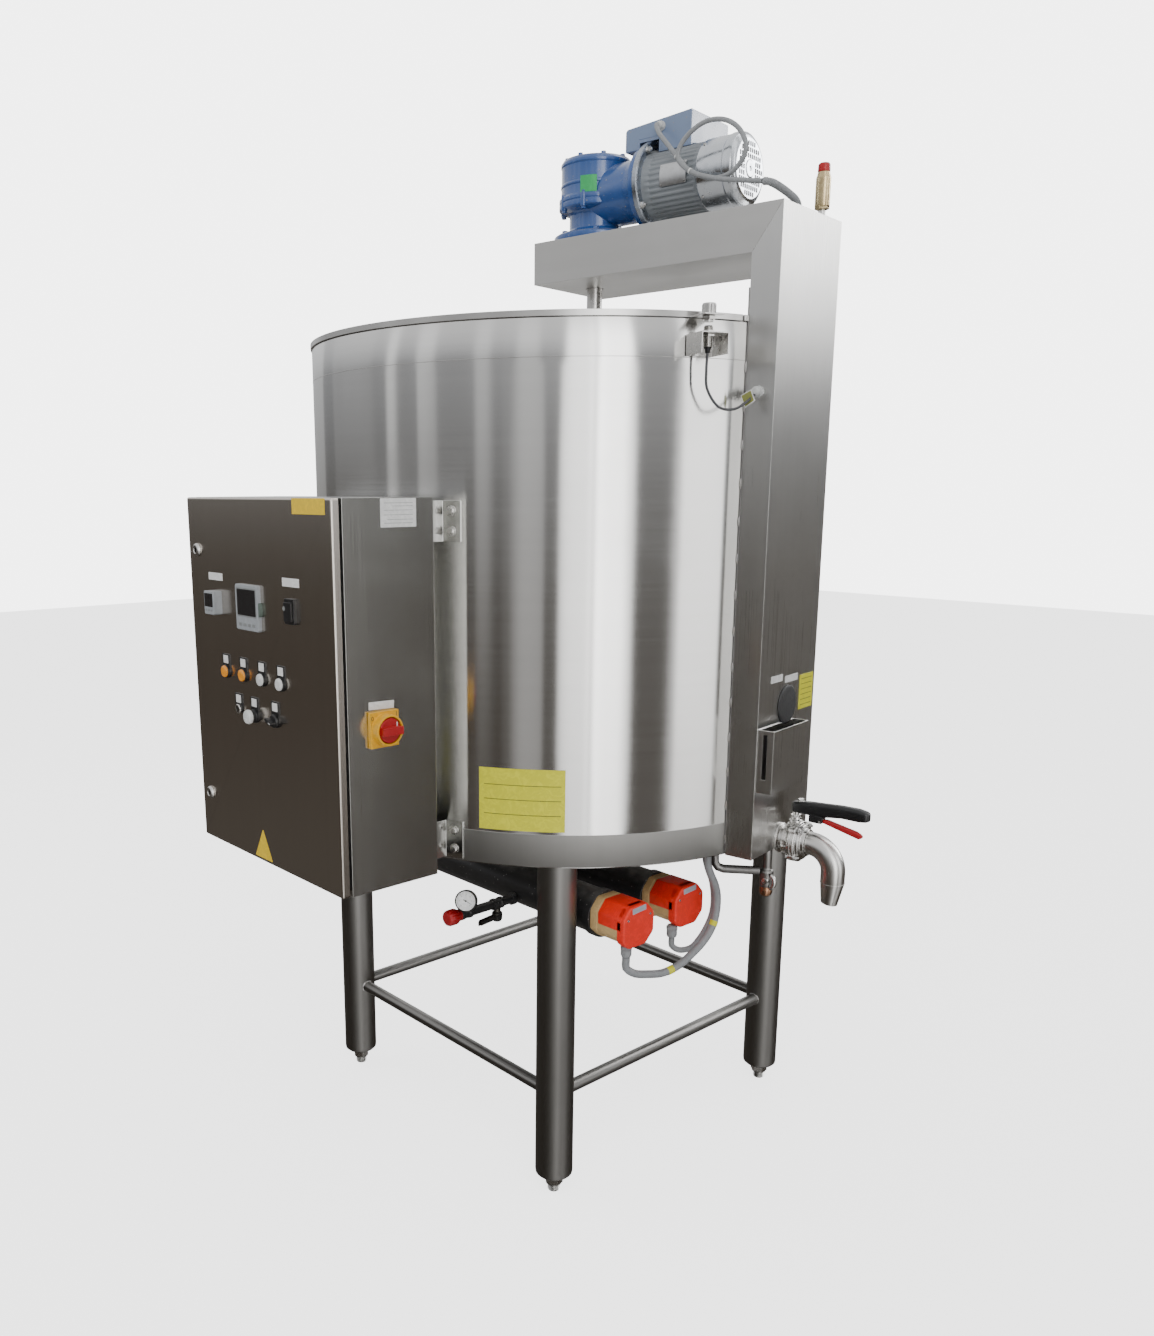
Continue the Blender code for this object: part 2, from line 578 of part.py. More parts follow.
def heater_cap(word, at, gland, root):
    """Eight-sided head whose end hangs a little lower, with the cable gland under it."""
    b, c, d = HEAT_X[1:]
    half = CAP_HALF
    upper = [(half, 0.024), (0.027, half), (-0.027, half), (-half, 0.024)]
    body = upper + [(-half, -0.022), (-0.024, -0.045), (0.024, -0.045), (half, -0.022)]
    end = upper + [(-half, -0.030), (-0.030, -0.047), (0.024, -0.047), (half, -0.022)]
    cap = prism("heater_cap_" + word, body, b + GAP, d - 0.010, ORANGE, root, at=at, axis="x")
    foot = prism("add_cap_end_" + word, end, d - 0.020, d, None, root, at=at, axis="x")
    boolean(cap, foot, "UNION")
    nut = lathe("add_cap_gland_" + word, [(0, -0.071), (0.0095, -0.071), (0.0125, -0.066), (0.0125, -0.030),
                                          (0, -0.030)], None, root,
                at=(at[0] + d - 0.018, at[1] + gland, at[2]), count=20)
    boolean(cap, nut, "UNION")


def pressure_line(root):
    """Small pipe from the front heater with a gauge, a cock and a relief valve at its end."""
    x, start, end, z = PRESSURE_LINE
    rod("pressure_pipe", (x, start, z), (x, end, z), 0.011, DARK_STEEL, root)
    lathe("relief_cap", [(0, 0), (0.014, 0), (0.014, 0.008), (0.019, 0.012), (0.019, 0.036), (0.016, 0.040),
                         (0, 0.040)], RED, root, at=(x, end - GAP, z), spin=(math.pi / 2, 0, 0), count=24)
    face = Vector((0.62, -0.70, 0.30)).normalized()
    dial = lathe("pressure_gauge", [(0, -0.020), (0.024, -0.020), (0.0255, -0.018), (0.0255, 0.002),
                                    (0.0225, 0.002), (0.0225, 0.0), (0, 0.0)], BLACK, root,
                 at=GAUGE_AT, count=32)
    dial.rotation_mode = "QUATERNION"
    dial.rotation_quaternion = face.to_track_quat("Z", "Y")
    back = Vector(GAUGE_AT) - face * 0.014
    stem = rod("add_gauge_stem", (x + 0.003, back.y + 0.016, z + 0.0132), back, 0.0045, None, root)
    boolean(dial, stem, "UNION")
    cock = lathe("pressure_cock", [(0, 0.616), (0.0095, 0.616), (0.0125, 0.621), (0.0125, 0.637),
                                   (0.0085, 0.640), (0.0085, 0.6487), (0, 0.6487)],
                 DARK_STEEL, root, at=(x, COCK_Y, 0), count=20)
    lever = rod("add_cock_lever", (x, COCK_Y, 0.628), (x - 0.006, COCK_Y - 0.048, 0.620), 0.0075, None, root,
                count=12)
    boolean(cock, lever, "UNION")


def outlet(arm):
    """Butterfly valve with its lever, and the bent spout."""
    x = COL_X[1] + GAP
    profile = [(0.0235, x), (0.034, x), (0.034, x + 0.006), (0.0265, x + 0.008), (0.0265, x + 0.018),
               (0.041, x + 0.020), (0.041, x + 0.034), (0.047, x + 0.036), (0.047, x + 0.052),
               (0.041, x + 0.054), (0.041, x + 0.060), (0.031, x + 0.062), (0.031, x + 0.070),
               (0.0235, x + 0.070)]
    valve = lathe("outlet_valve", profile, STEEL, arm, at=(0, OUT_Y, OUT_Z), spin=(0, math.pi / 2, 0),
                  count=48)
    stem = rod("add_valve_stem", (HANDLE_AT[0], OUT_Y, OUT_Z + 0.040), (HANDLE_AT[0], OUT_Y, 0.9125), 0.012,
               None, arm)
    boolean(valve, stem, "UNION")
    hx, hz = HANDLE_AT
    hinge = empty("valve_axis", (hx, OUT_Y, 0), parent=arm)
    outline = [(-0.009, 0.9128), (0.016, 0.9128), (0.020, 0.909), (0.036, 0.909), (0.036, 0.897),
               (0.0655, 0.897), (0.0655, 0.910), (0.080, 0.9135), (0.107, 0.917), (0.1465, 0.9165),
               (0.167, 0.919), (0.1705, 0.936), (0.168, 0.9405), (0.1445, 0.9455), (0.105, 0.946),
               (0.027, 0.9415), (-0.006, 0.937), (-0.0105, 0.932)]
    prism("valve_handle", outline, -0.013, 0.013, BLACK, hinge, axis="y")
    outline = [(0.0658, 0.8975), (0.0658, 0.9070), (0.0740, 0.9085), (0.1435, 0.8935), (0.1565, 0.8865),
               (0.1545, 0.8795), (0.1475, 0.8765)]
    prism("valve_trigger", outline, -0.006, 0.006, RED, hinge, axis="y")
    start = x + 0.070 + GAP
    radius = 0.056
    bend = [(start, OUT_Y, OUT_Z)]
    for a in np.linspace(0, math.pi / 2, 16):
        bend.append((start + 0.004 + radius * math.sin(a), OUT_Y, OUT_Z - radius * (1 - math.cos(a))))
    seam, (mouth_back, mouth_z) = SPOUT_SEAM_Z, SPOUT_MOUTH
    bend.append((bend[-1][0], OUT_Y, seam))
    bend.append((bend[-1][0] - mouth_back, OUT_Y, mouth_z))
    wide = np.full(len(bend), 0.0265)
    wide[-1] = 0.0184
    bent_pipe("outlet_spout", bend, wide, wide - 0.003, STEEL, arm, count=32, cut=0.07)


def drain(arm):
    """Small pipe from below the tank to a cock beside the right leg."""
    route = [(0.556, -0.148, 0.8235), (0.556, -0.148, 0.800), (0.557, -0.1475, 0.784),
             (0.563, -0.1435, 0.774), (0.574, -0.137, 0.770), (0.612, -0.1143, 0.770),
             (0.6434, -0.0949, 0.770)]
    bent_pipe("drain_pipe", route, 0.010, 0.0075, DARK_STEEL, arm, count=20)
    lathe("drain_cock", [(0, 0.7105), (0.0090, 0.7105), (0.0145, 0.716), (0.0155, 0.722), (0.0155, 0.770),
                         (0.0110, 0.776), (0.0105, 0.780), (0.0105, COL_Z[0] - GAP), (0, COL_Z[0] - GAP)],
          BRASS, arm, at=(0.6570, -0.0866, 0), count=24)


def cables(root, arm):
    motor = [(0.316, -0.0857, 2.404), (0.316, -0.103, 2.404), (0.335, -0.125, 2.380),
             (0.366, -0.136, 2.347), (0.394, -0.140, 2.316), (0.424, -0.140, 2.285), (0.480, -0.140, 2.262),
             (0.515, -0.141, 2.263), (0.542, -0.142, 2.279),
             (0.555, -0.143, 2.305), (0.545, -0.144, 2.335), (0.524, -0.145, 2.357), (0.495, -0.146, 2.370),
             (0.461, -0.148, 2.371), (0.427, -0.150, 2.356), (0.405, -0.1515, 2.333),
             (0.401, -0.1515, 2.312),
             (0.431, -0.1515, 2.282), (0.487, -0.1515, 2.259), (0.548, -0.150, 2.245),
             (0.596, -0.146, 2.236)]
    cord("motor_cable", motor, 0.005, CABLE, arm)
    conduit = [(0.5988, -0.1457, 2.2354), (0.6065, -0.1450, 2.2340), (0.6135, -0.1390, 2.2318),
               (0.6180, -0.1270, 2.2288), (0.6220, -0.1130, 2.2248), (0.6270, -0.1000, 2.2195),
               (0.6325, -0.0895, 2.2132), (0.6375, -0.0800, 2.2065), (0.6405, -0.0740, 2.1980),
               (0.6410, -0.0730, COL_Z[1] + 0.0010)]
    cord("drive_conduit", conduit, 0.008, CABLE, arm, step=0.011)
    turn = Matrix.Rotation(SENSOR_TURN, 4, "Z") @ Vector((SENSOR_R, 0, 0))
    sensor_line = [(turn.x, turn.y, 1.8915), (turn.x - 0.001, turn.y, 1.860),
                   (turn.x, turn.y + 0.004, 1.825),
                   (turn.x + 0.016, turn.y + 0.026, 1.790), (0.618, -0.265, 1.786), (0.631, -0.232, 1.803),
                   (0.636, -0.210, 1.818), (0.636, COL_Y[0] - 0.0012, 1.822)]
    cord("sensor_cable", sensor_line, 0.0027, CABLE, arm)
    front = [(0.535, -0.315, 0.6104), (0.535, -0.315, 0.598), (0.5352, -0.3148, 0.584),
             (0.545, -0.298, 0.569), (0.556, -0.2638, 0.5606), (0.564, -0.2243, 0.5545),
             (0.570, -0.1944, 0.5583), (0.575, -0.1635, 0.5683), (0.579, -0.1316, 0.5853),
             (0.582, -0.1076, 0.6004), (0.584, -0.0858, 0.6199), (0.5855, -0.0701, 0.6454),
             (0.586, -0.0632, 0.6769), (0.586, -0.0641, 0.7102), (0.587, -0.0760, 0.7400),
             (0.587, -0.0930, 0.7680), (0.586, -0.104, 0.795), (0.586, -0.104, 0.8234)]
    cord("heater_cable_front", front, 0.009, CABLE, root)
    rear = [(0.527, -0.150, 0.6104), (0.527, -0.150, 0.600), (0.5272, -0.1498, 0.590),
            (0.539, -0.139, 0.579), (0.553, -0.1103, 0.581), (0.560, -0.0892, 0.600),
            (0.564, -0.0691, 0.6253), (0.566, -0.054, 0.6554), (0.567, -0.051, 0.6923),
            (0.567, -0.060, 0.7357), (0.568, -0.0745, 0.765), (0.566, -0.086, 0.795),
            (0.566, -0.086, 0.8234)]
    cord("heater_cable_rear", rear, 0.007, CABLE, root)


def build():
    clear_scene()
    root = empty("machine", (-CENTRE[0], -CENTRE[1], 0))
    arm = empty("arm_square", turn=ARM_TURN, parent=root)
    legs(root)
    tank(root, arm)
    sensor(root, arm)
    arm_frame(arm)
    drive(arm)
    relief_valve(arm)
    cabinet(root)
    heaters(root)
    pressure_line(root)
    outlet(arm)
    drain(arm)
    cables(root, arm)


build()
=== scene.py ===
"""Looks of a batch pasteurizer: a jacketed steel tank on legs with a stirrer arm, a switch cabinet, immersion
heaters and a lever valve outlet. Everything is in metres in the part's own frame.

Shapes are worked out with numpy: a profile turned about an axis, an outline carried upward, or a section
carried along a path. Each sub-assembly is a class that holds its sizes and builds and dresses its own pieces.
"""
import json
import logging
from collections.abc import Callable, Sequence
from dataclasses import dataclass, field
from enum import Enum

import bmesh
import bpy
import numpy as np
from mathutils import Matrix

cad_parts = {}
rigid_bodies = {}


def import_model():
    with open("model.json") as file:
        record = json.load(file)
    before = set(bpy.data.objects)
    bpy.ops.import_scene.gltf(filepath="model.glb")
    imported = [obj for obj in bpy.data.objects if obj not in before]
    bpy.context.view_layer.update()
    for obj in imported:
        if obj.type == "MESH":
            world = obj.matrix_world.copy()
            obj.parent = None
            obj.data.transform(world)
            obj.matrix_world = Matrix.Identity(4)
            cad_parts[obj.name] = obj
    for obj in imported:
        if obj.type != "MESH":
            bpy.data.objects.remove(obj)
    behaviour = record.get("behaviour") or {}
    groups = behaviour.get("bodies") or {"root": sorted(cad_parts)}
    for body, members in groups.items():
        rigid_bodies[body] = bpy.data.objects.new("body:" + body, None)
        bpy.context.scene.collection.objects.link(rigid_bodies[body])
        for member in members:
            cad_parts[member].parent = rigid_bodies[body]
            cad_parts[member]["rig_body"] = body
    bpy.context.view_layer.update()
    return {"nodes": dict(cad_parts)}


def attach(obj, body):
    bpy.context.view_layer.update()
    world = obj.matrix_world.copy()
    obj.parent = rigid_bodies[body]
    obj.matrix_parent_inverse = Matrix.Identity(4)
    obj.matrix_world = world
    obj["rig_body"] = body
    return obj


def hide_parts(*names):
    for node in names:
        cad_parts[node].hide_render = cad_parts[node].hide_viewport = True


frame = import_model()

LOG = logging.getLogger("pasteurizer")
Array = np.ndarray
Colour = tuple[float, float, float]
WHITE = (1.0, 1.0, 1.0, 1.0)

# The middle of the part as seen from the tank's axis, and the arm's turn about that axis in radians.
CENTRE = (0.1204, -0.1439)
ARM_TURN = 0.1547
# The tank's radius, and the lid sensor's place in the arm's frame: its distance from the axis and its bearing.
TANK_R = 0.63
SENSOR_OUT = 0.662
SENSOR_TURN = float(np.arctan2(-0.315, 0.583))


# ---- placing ----


def shift(x: float, y: float, z: float) -> Array:
    """A matrix that moves points by x, y and z.

    Args:
        x: metres along X.
        y: metres along Y.
        z: metres along Z.

    Returns:
        The matrix.
    """
    matrix = np.eye(4)
    matrix[:3, 3] = (x, y, z)
    return matrix


def spin(angle: float, axis: str = "Z") -> Array:
    """A matrix that turns points by an angle in radians about an axis through the origin."""
    return np.array(Matrix.Rotation(angle, 4, axis))


def facing(out: Sequence[float], at: Sequence[float], up: Sequence[float] = (0, 0, 1)) -> Array:
    """A place whose local Z looks outward.

    Args:
        out: direction of local Z.
        at: the origin.
        up: the direction that local Y leans to.

    Returns:
        A matrix whose columns are Y cross Z, Y and Z, with Y the part of up that is square to Z.
    """
    z = np.asarray(out, float) / np.linalg.norm(out)
    y = np.asarray(up, float) - z * (np.asarray(up, float) @ z)
    y /= np.linalg.norm(y)
    matrix = np.eye(4)
    matrix[:3, :3] = np.stack([np.cross(y, z), y, z], 1)
    matrix[:3, 3] = at
    return matrix


def moved(points: Array, matrix: Array) -> Array:
    """Points taken through a matrix."""
    return np.asarray(points, float) @ matrix[:3, :3].T + matrix[:3, 3]


ROOT = shift(-CENTRE[0], -CENTRE[1], 0.0)
ARM = ROOT @ spin(ARM_TURN)


# ---- shapes ----


def bearings(count: int, start: float = 0.0) -> Array:
    """Equal angles round a whole turn."""
    return start + np.arange(count) * 2 * np.pi / count


def polar(radius: Array, angle: Array, height: Array) -> Array:
    """Points about local Z: (r cos a, r sin a, h)."""
    return np.stack(np.broadcast_arrays(radius * np.cos(angle), radius * np.sin(angle), height), -1)


@dataclass
class Form:
    """Vertices with four-sided faces and a few many-sided ones, before they become a mesh."""

    verts: Array
    quads: Array
    gons: list[Array] = field(default_factory=list)

    def at(self, matrix: Array) -> "Form":
        """The same form taken through a matrix."""
        return Form(moved(self.verts, matrix), self.quads, self.gons)

    def __add__(self, other: "Form") -> "Form":
        """Both forms as one."""
        count = len(self.verts)
        return Form(np.concatenate([self.verts, other.verts]),
                    np.concatenate([self.quads, other.quads + count]),
                    self.gons + [gon + count for gon in other.gons])


def joined(forms: Sequence[Form]) -> Form:
    """Several forms as one.

    Args:
        forms: at least one form.

    Returns:
        One form that holds them all.
    """
    total = forms[0]
    for form in forms[1:]:
        total = total + form
    return total


def around(form: Form, count: int, radius: float = 0.0, start: float = 0.0) -> Form:
    """Copies of a form set at equal angles about local Z, each pushed out by radius along its own X."""
    return joined([form.at(spin(turn) @ shift(radius, 0, 0)) for turn in bearings(count, start)])


def woven(points: Array, wrap_rows: bool = False, wrap_cols: bool = False) -> Form:
    """A surface through a grid of points.

    Args:
        points: rows by columns by 3.
        wrap_rows: join the last row to the first.
        wrap_cols: join the last column to the first.

    Returns:
        One quad for each cell of the grid.
    """
    rows, cols = points.shape[:2]
    index = np.arange(rows * cols).reshape(rows, cols)
    if wrap_rows:
        index = np.vstack([index, index[:1]])
    if wrap_cols:
        index = np.hstack([index, index[:, :1]])
    quads = np.stack([index[:-1, :-1], index[:-1, 1:], index[1:, 1:], index[1:, :-1]], -1).reshape(-1, 4)
    return Form(points.reshape(-1, 3), quads)


def eased(line: Sequence[Sequence[float]], radius: float, steps: int = 3, loop: bool = True) -> Array:
    """A line of points with its corners rounded.

    Each corner becomes a short parabola from a point radius before it to a point radius after it, or 45% of
    the way to the next corner where that is less: (1-t)^2 before + 2t(1-t) corner + t^2 after.

    Args:
        line: the points, with two or three values each.
        radius: how far from a corner its round begins.
        steps: parts of each round.
        loop: whether the line is closed; an open one keeps its ends.

    Returns:
        The points of the rounded line.
    """
    line = np.asarray(line, float)
    before, after = np.roll(line, 1, 0) - line, np.roll(line, -1, 0) - line
    t = np.linspace(0, 1, steps + 1)[None, :, None]

    def toward(step: Array) -> Array:
        """The points radius along the given steps, or less where a step is short."""
        length = np.linalg.norm(step, axis=1, keepdims=True) + 1e-12
        return line + step / length * np.minimum(radius, 0.45 * length)

    round_corner = ((1 - t) ** 2 * toward(before)[:, None] + 2 * t * (1 - t) * line[:, None]
                    + t ** 2 * toward(after)[:, None])
    if loop:
        return round_corner.reshape(-1, line.shape[1])
    return np.concatenate([line[:1], round_corner[1:-1].reshape(-1, line.shape[1]), line[-1:]])


def turned(profile: Sequence[Sequence[float]], count: int = 48, loop: bool = False) -> Form:
    """A profile of (radius, height) turned about local Z: (r cos a, r sin a, h) for count angles a.

    Args:
        profile: radius and height of each point.
        count: number of angles.
        loop: join the profile's last point to its first.

    Returns:
        The surface.
    """
    radius, height = np.asarray(profile, float).T
    points = polar(radius[:, None], bearings(count), height[:, None])
    return woven(points, wrap_rows=loop, wrap_cols=True)


def lathed(*profile: Sequence[float], edge: float = 0.0008, count: int = 48, steps: int = 3) -> Form:
    """A profile turned about local Z with its corners rounded; one off the axis closes to a ring."""
    return turned(eased(profile, edge, steps, False), count, loop=profile[0][0] > 0)


def lofted(rings: Array) -> Form:
    """A skin over closed rings of points, with a flat face over each end ring.

    Args:
        rings: rows by columns by 3.

    Returns:
        The skin.
    """
    form = woven(rings, wrap_cols=True)
    rows, cols = rings.shape[:2]
    form.gons = [np.arange(cols)[::-1], (rows - 1) * cols + np.arange(cols)]
    return form


def inset(outline: Array, by: float) -> Array:
    """A closed outline pulled in along its normals, each square to the line between its neighbours.

    Args:
        outline: the points in order.
        by: how far, in metres.

    Returns:
        The outline pulled in.
    """
    along = np.roll(outline, -1, 0) - np.roll(outline, 1, 0)
    along /= np.linalg.norm(along, axis=1, keepdims=True) + 1e-12
    turn = np.sum(outline[:, 0] * np.roll(outline[:, 1], -1) - np.roll(outline[:, 0], -1) * outline[:, 1])
    return outline + by * np.sign(turn) * np.stack([-along[:, 1], along[:, 0]], 1)


FLAT_MARGIN = 0.0003
SPLINE_STEPS = 24


def slab(outline: Array, low: float, high: float, edge: float = 0.0, steps: int = 3,
         both: bool = False) -> Form:
    """A flat outline carried from low to high along Z, its top edge a quarter round.

    Narrow margins on both sides of the round keep the flat faces shaded flat.

    Args:
        outline: points in the plane.
        low: height of the foot.
        high: height of the top.
        edge: radius of the round.
        steps: parts of the round.
        both: round the foot as well.

    Returns:
        The solid.
    """
    turn = np.linspace(0, np.pi / 2, steps + 1) if edge else np.zeros(1)
    drop, pull = edge * (1 - np.sin(turn)), edge * (1 - np.cos(turn))
    rows = [(low, 0.0)] if not both else [(low + d, p) for d, p in zip(drop[::-1], pull[::-1])]
    if edge and high - low > 2 * (edge + FLAT_MARGIN):
        rows += [(high - edge - FLAT_MARGIN, 0.0)]
    rows += [(high - d, p) for d, p in zip(drop, pull)]
    if edge:
        rows += [(high, edge + FLAT_MARGIN)]
    rings = [np.column_stack([inset(outline, p), np.full(len(outline), z)]) for z, p in rows]
    return lofted(np.stack(rings))


def rectangle(wide: float, tall: float, corner: float = 0.0, centre: Sequence[float] = (0, 0)) -> Array:
    """Outline of a rectangle, its corners rounded.

    Args:
        wide: size along X.
        tall: size along Y.
        corner: how far from a corner its round begins.
        centre: its middle.

    Returns:
        The points in order.
    """
    x, y = wide / 2, tall / 2
    line = np.array([(x, y), (-x, y), (-x, -y), (x, -y)]) + np.asarray(centre, float)
    return eased(line, corner, 4) if corner else line


def polygon(sides: int, across: float, turn: float = 0.0) -> Array:
    """Outline of a regular polygon of a width across its flats."""
    angle = turn + (np.arange(sides) + 0.5) * 2 * np.pi / sides
    return across / 2 / np.cos(np.pi / sides) * np.stack([np.cos(angle), np.sin(angle)], 1)


def hexagon(across: float, low: float, high: float, edge: float, steps: int = 2, turn: float = 0.0) -> Form:
    """A nut's hexagon from low to high along Z, rounded at both ends."""
    return slab(polygon(6, across, turn), low, high, edge, steps, both=True)


def label(wide: float, tall: float, x: float, y: float, thick: float = 0.0005) -> Form:
    """A bare label: a thin rectangle about x and y with slightly rounded corners."""
    return slab(rectangle(wide, tall, 0.001, (x, y)), 0.0, thick, 0.0002)


def fluted(rows: Sequence[Sequence[float]], wave: Array, loop: bool = False) -> Form:
    """A turned form whose radius follows a wave round local Z: radius = reach - depth * wave(angle).

    Args:
        rows: reach, height and depth of each ring.
        wave: the wave's value at equal angles.
        loop: join the last ring to the first instead of closing both ends.

    Returns:
        The skin over all rings.
    """
    reach, height, depth = np.array(rows, float).T[:, :, None]
    rings = polar(reach - depth * wave, bearings(len(wave)), height)
    return woven(rings, True, True) if loop else lofted(rings)


def flutes(number: int, count: int) -> Array:
    """A smooth wave with a number of crests round a turn, from 0 to 1, at count angles."""
    return 0.5 + 0.5 * np.cos(number * np.arange(count) * 2 * np.pi / count)


def ring(radius: float, tube: float, count: int = 48, sides: int = 10, height: float = 0.0) -> Form:
    """A round bead bent to a circle about local Z."""
    angle = bearings(sides)
    return turned(np.stack([radius + tube * np.cos(angle), height + tube * np.sin(angle)], 1), count,
                  loop=True)


def steady(points: Array) -> tuple[Array, Array, Array]:
    """Tangents and two square directions along a path.

    The reference direction is the one, of 200 spread over a sphere, that stays furthest from every tangent.
    The first square direction is what is left of it without its part along the tangent.

    Args:
        points: the path.

    Returns:
        Tangent, side and up at each point.
    """
    tangent = np.gradient(points, axis=0)
    tangent /= np.linalg.norm(tangent, axis=1, keepdims=True)
    k = np.arange(200) + 0.5
    lift, turn = 1 - 2 * k / 200, k * np.pi * (1 + 5 ** 0.5)
    flat = np.sqrt(1 - lift ** 2)
    ball = np.stack([flat * np.cos(turn), flat * np.sin(turn), lift], 1)
    best = ball[np.argmin(np.max(np.abs(ball @ tangent.T), axis=1))]
    side = best - tangent * (tangent @ best)[:, None]
    side /= np.linalg.norm(side, axis=1, keepdims=True)
    return tangent, side, np.cross(tangent, side)


def swept(path: Array, radius: float | Array, count: int = 16, loop: bool = False) -> Form:
    """A round section carried along a path: point + r (cos a side + sin a up).

    Args:
        path: the points of the axis.
        radius: one radius, or one for each point.
        count: sides of the section.
        loop: the path is closed.

    Returns:
        The tube.
    """
    path = np.asarray(path, float)
    _, side, up = steady(path)
    if loop:
        wide = np.concatenate([path[-2:], path, path[:2]])
        side, up = (part[2:-2] for part in steady(wide)[1:])
    angle = bearings(count)
    reach = np.broadcast_to(np.asarray(radius, float), (len(path),))[:, None, None]
    rings = path[:, None] + reach * (np.cos(angle)[None, :, None] * side[:, None]
                                     + np.sin(angle)[None, :, None] * up[:, None])
    return woven(rings, True, True) if loop else lofted(rings)


def smooth_route(route: Sequence[Sequence[float]], step: float) -> Array:
    """Points a fixed step apart on a smooth curve through the route's points.

    The curve is a centripetal Catmull-Rom spline: each stretch between two route points blends the lines
    through its four neighbours, with knots spaced by the square root of the distances.

    Args:
        route: the points that the curve goes through.
        step: the distance in metres.

    Returns:
        The points.
    """
    route = np.asarray(route, float)
    knot = np.concatenate([[0], np.cumsum(np.linalg.norm(np.diff(route, axis=0), axis=1) ** 0.5)])
    ghost = np.concatenate([[2 * route[0] - route[1]], route, [2 * route[-1] - route[-2]]])
    knots = np.concatenate([[-knot[1]], knot, [2 * knot[-1] - knot[-2]]])
    fine = []
    for i in range(1, len(ghost) - 2):
        t = np.linspace(knots[i], knots[i + 1], SPLINE_STEPS, endpoint=i == len(ghost) - 3)[:, None]

        def blend(a: Array, b: Array, low: float, high: float) -> Array:
            """The straight mix of two points over a stretch of the knots."""
            return ((high - t) * a + (t - low) * b) / (high - low)

        a1 = blend(ghost[i - 1], ghost[i], knots[i - 1], knots[i])
        a2 = blend(ghost[i], ghost[i + 1], knots[i], knots[i + 1])
        a3 = blend(ghost[i + 1], ghost[i + 2], knots[i + 1], knots[i + 2])
        b1 = blend(a1, a2, knots[i - 1], knots[i + 1])
        b2 = blend(a2, a3, knots[i], knots[i + 2])
        fine.append(blend(b1, b2, knots[i], knots[i + 1]))
    route = np.concatenate(fine)
    along = np.concatenate([[0], np.cumsum(np.linalg.norm(np.diff(route, axis=0), axis=1))])
    count = max(2, int(round(along[-1] / step)) + 1)
    at = np.linspace(0, along[-1], count)
    return np.stack([np.interp(at, along, route[:, k]) for k in range(3)], 1)


def bolt(across: float, high: float, washer: float = 0.0, turn: float = 0.0) -> Form:
    """A hexagon head with a chamfered top, on a washer where one is given.

    Args:
        across: width across the flats.
        high: height of the head.
        washer: radius of the washer.
        turn: the head's turn in radians.

    Returns:
        The head, standing on Z = 0.
    """
    foot = 0.0012 if washer else 0.0
    head = slab(polygon(6, across, turn), foot, foot + high, across * 0.06, 2)
    if not washer:
        return head
    return head + lathed((0, 0), (washer, 0), (washer, foot), (0, foot), edge=0.0003, count=24)


def cap_screw(radius: float, high: float) -> Form:
    """A round head with a six-sided socket sunk in it."""
    return lathed((0, 0), (radius, 0), (radius, high), (radius * 0.55, high), (radius * 0.5, high * 0.45),
                  (0, high * 0.45), edge=radius * 0.12, count=24, steps=2)


def letters(text: str, size: float, matrix: Array) -> Form:
    """Flat lettering as a thin solid, centred on the place and standing on its plane.

    Args:
        text: what it says.
        size: size in metres.
        matrix: its place.

    Returns:
        The lettering.
    """
    curve = bpy.data.curves.new("letters", "FONT")
    curve.body, curve.size, curve.align_x, curve.align_y = text, size, "CENTER", "CENTER"
    curve.extrude, curve.resolution_u = 0.0001, 3
    holder = bpy.data.objects.new("letters", curve)
    mesh = bpy.data.meshes.new_from_object(holder)
    verts = np.empty(len(mesh.vertices) * 3)
    mesh.vertices.foreach_get("co", verts)
    form = Form(verts.reshape(-1, 3), np.zeros((0, 4), int),
                [np.array(face.vertices[:]) for face in mesh.polygons])
    bpy.data.objects.remove(holder)
    bpy.data.meshes.remove(mesh)
    return form.at(matrix)


# ---- finishes ----


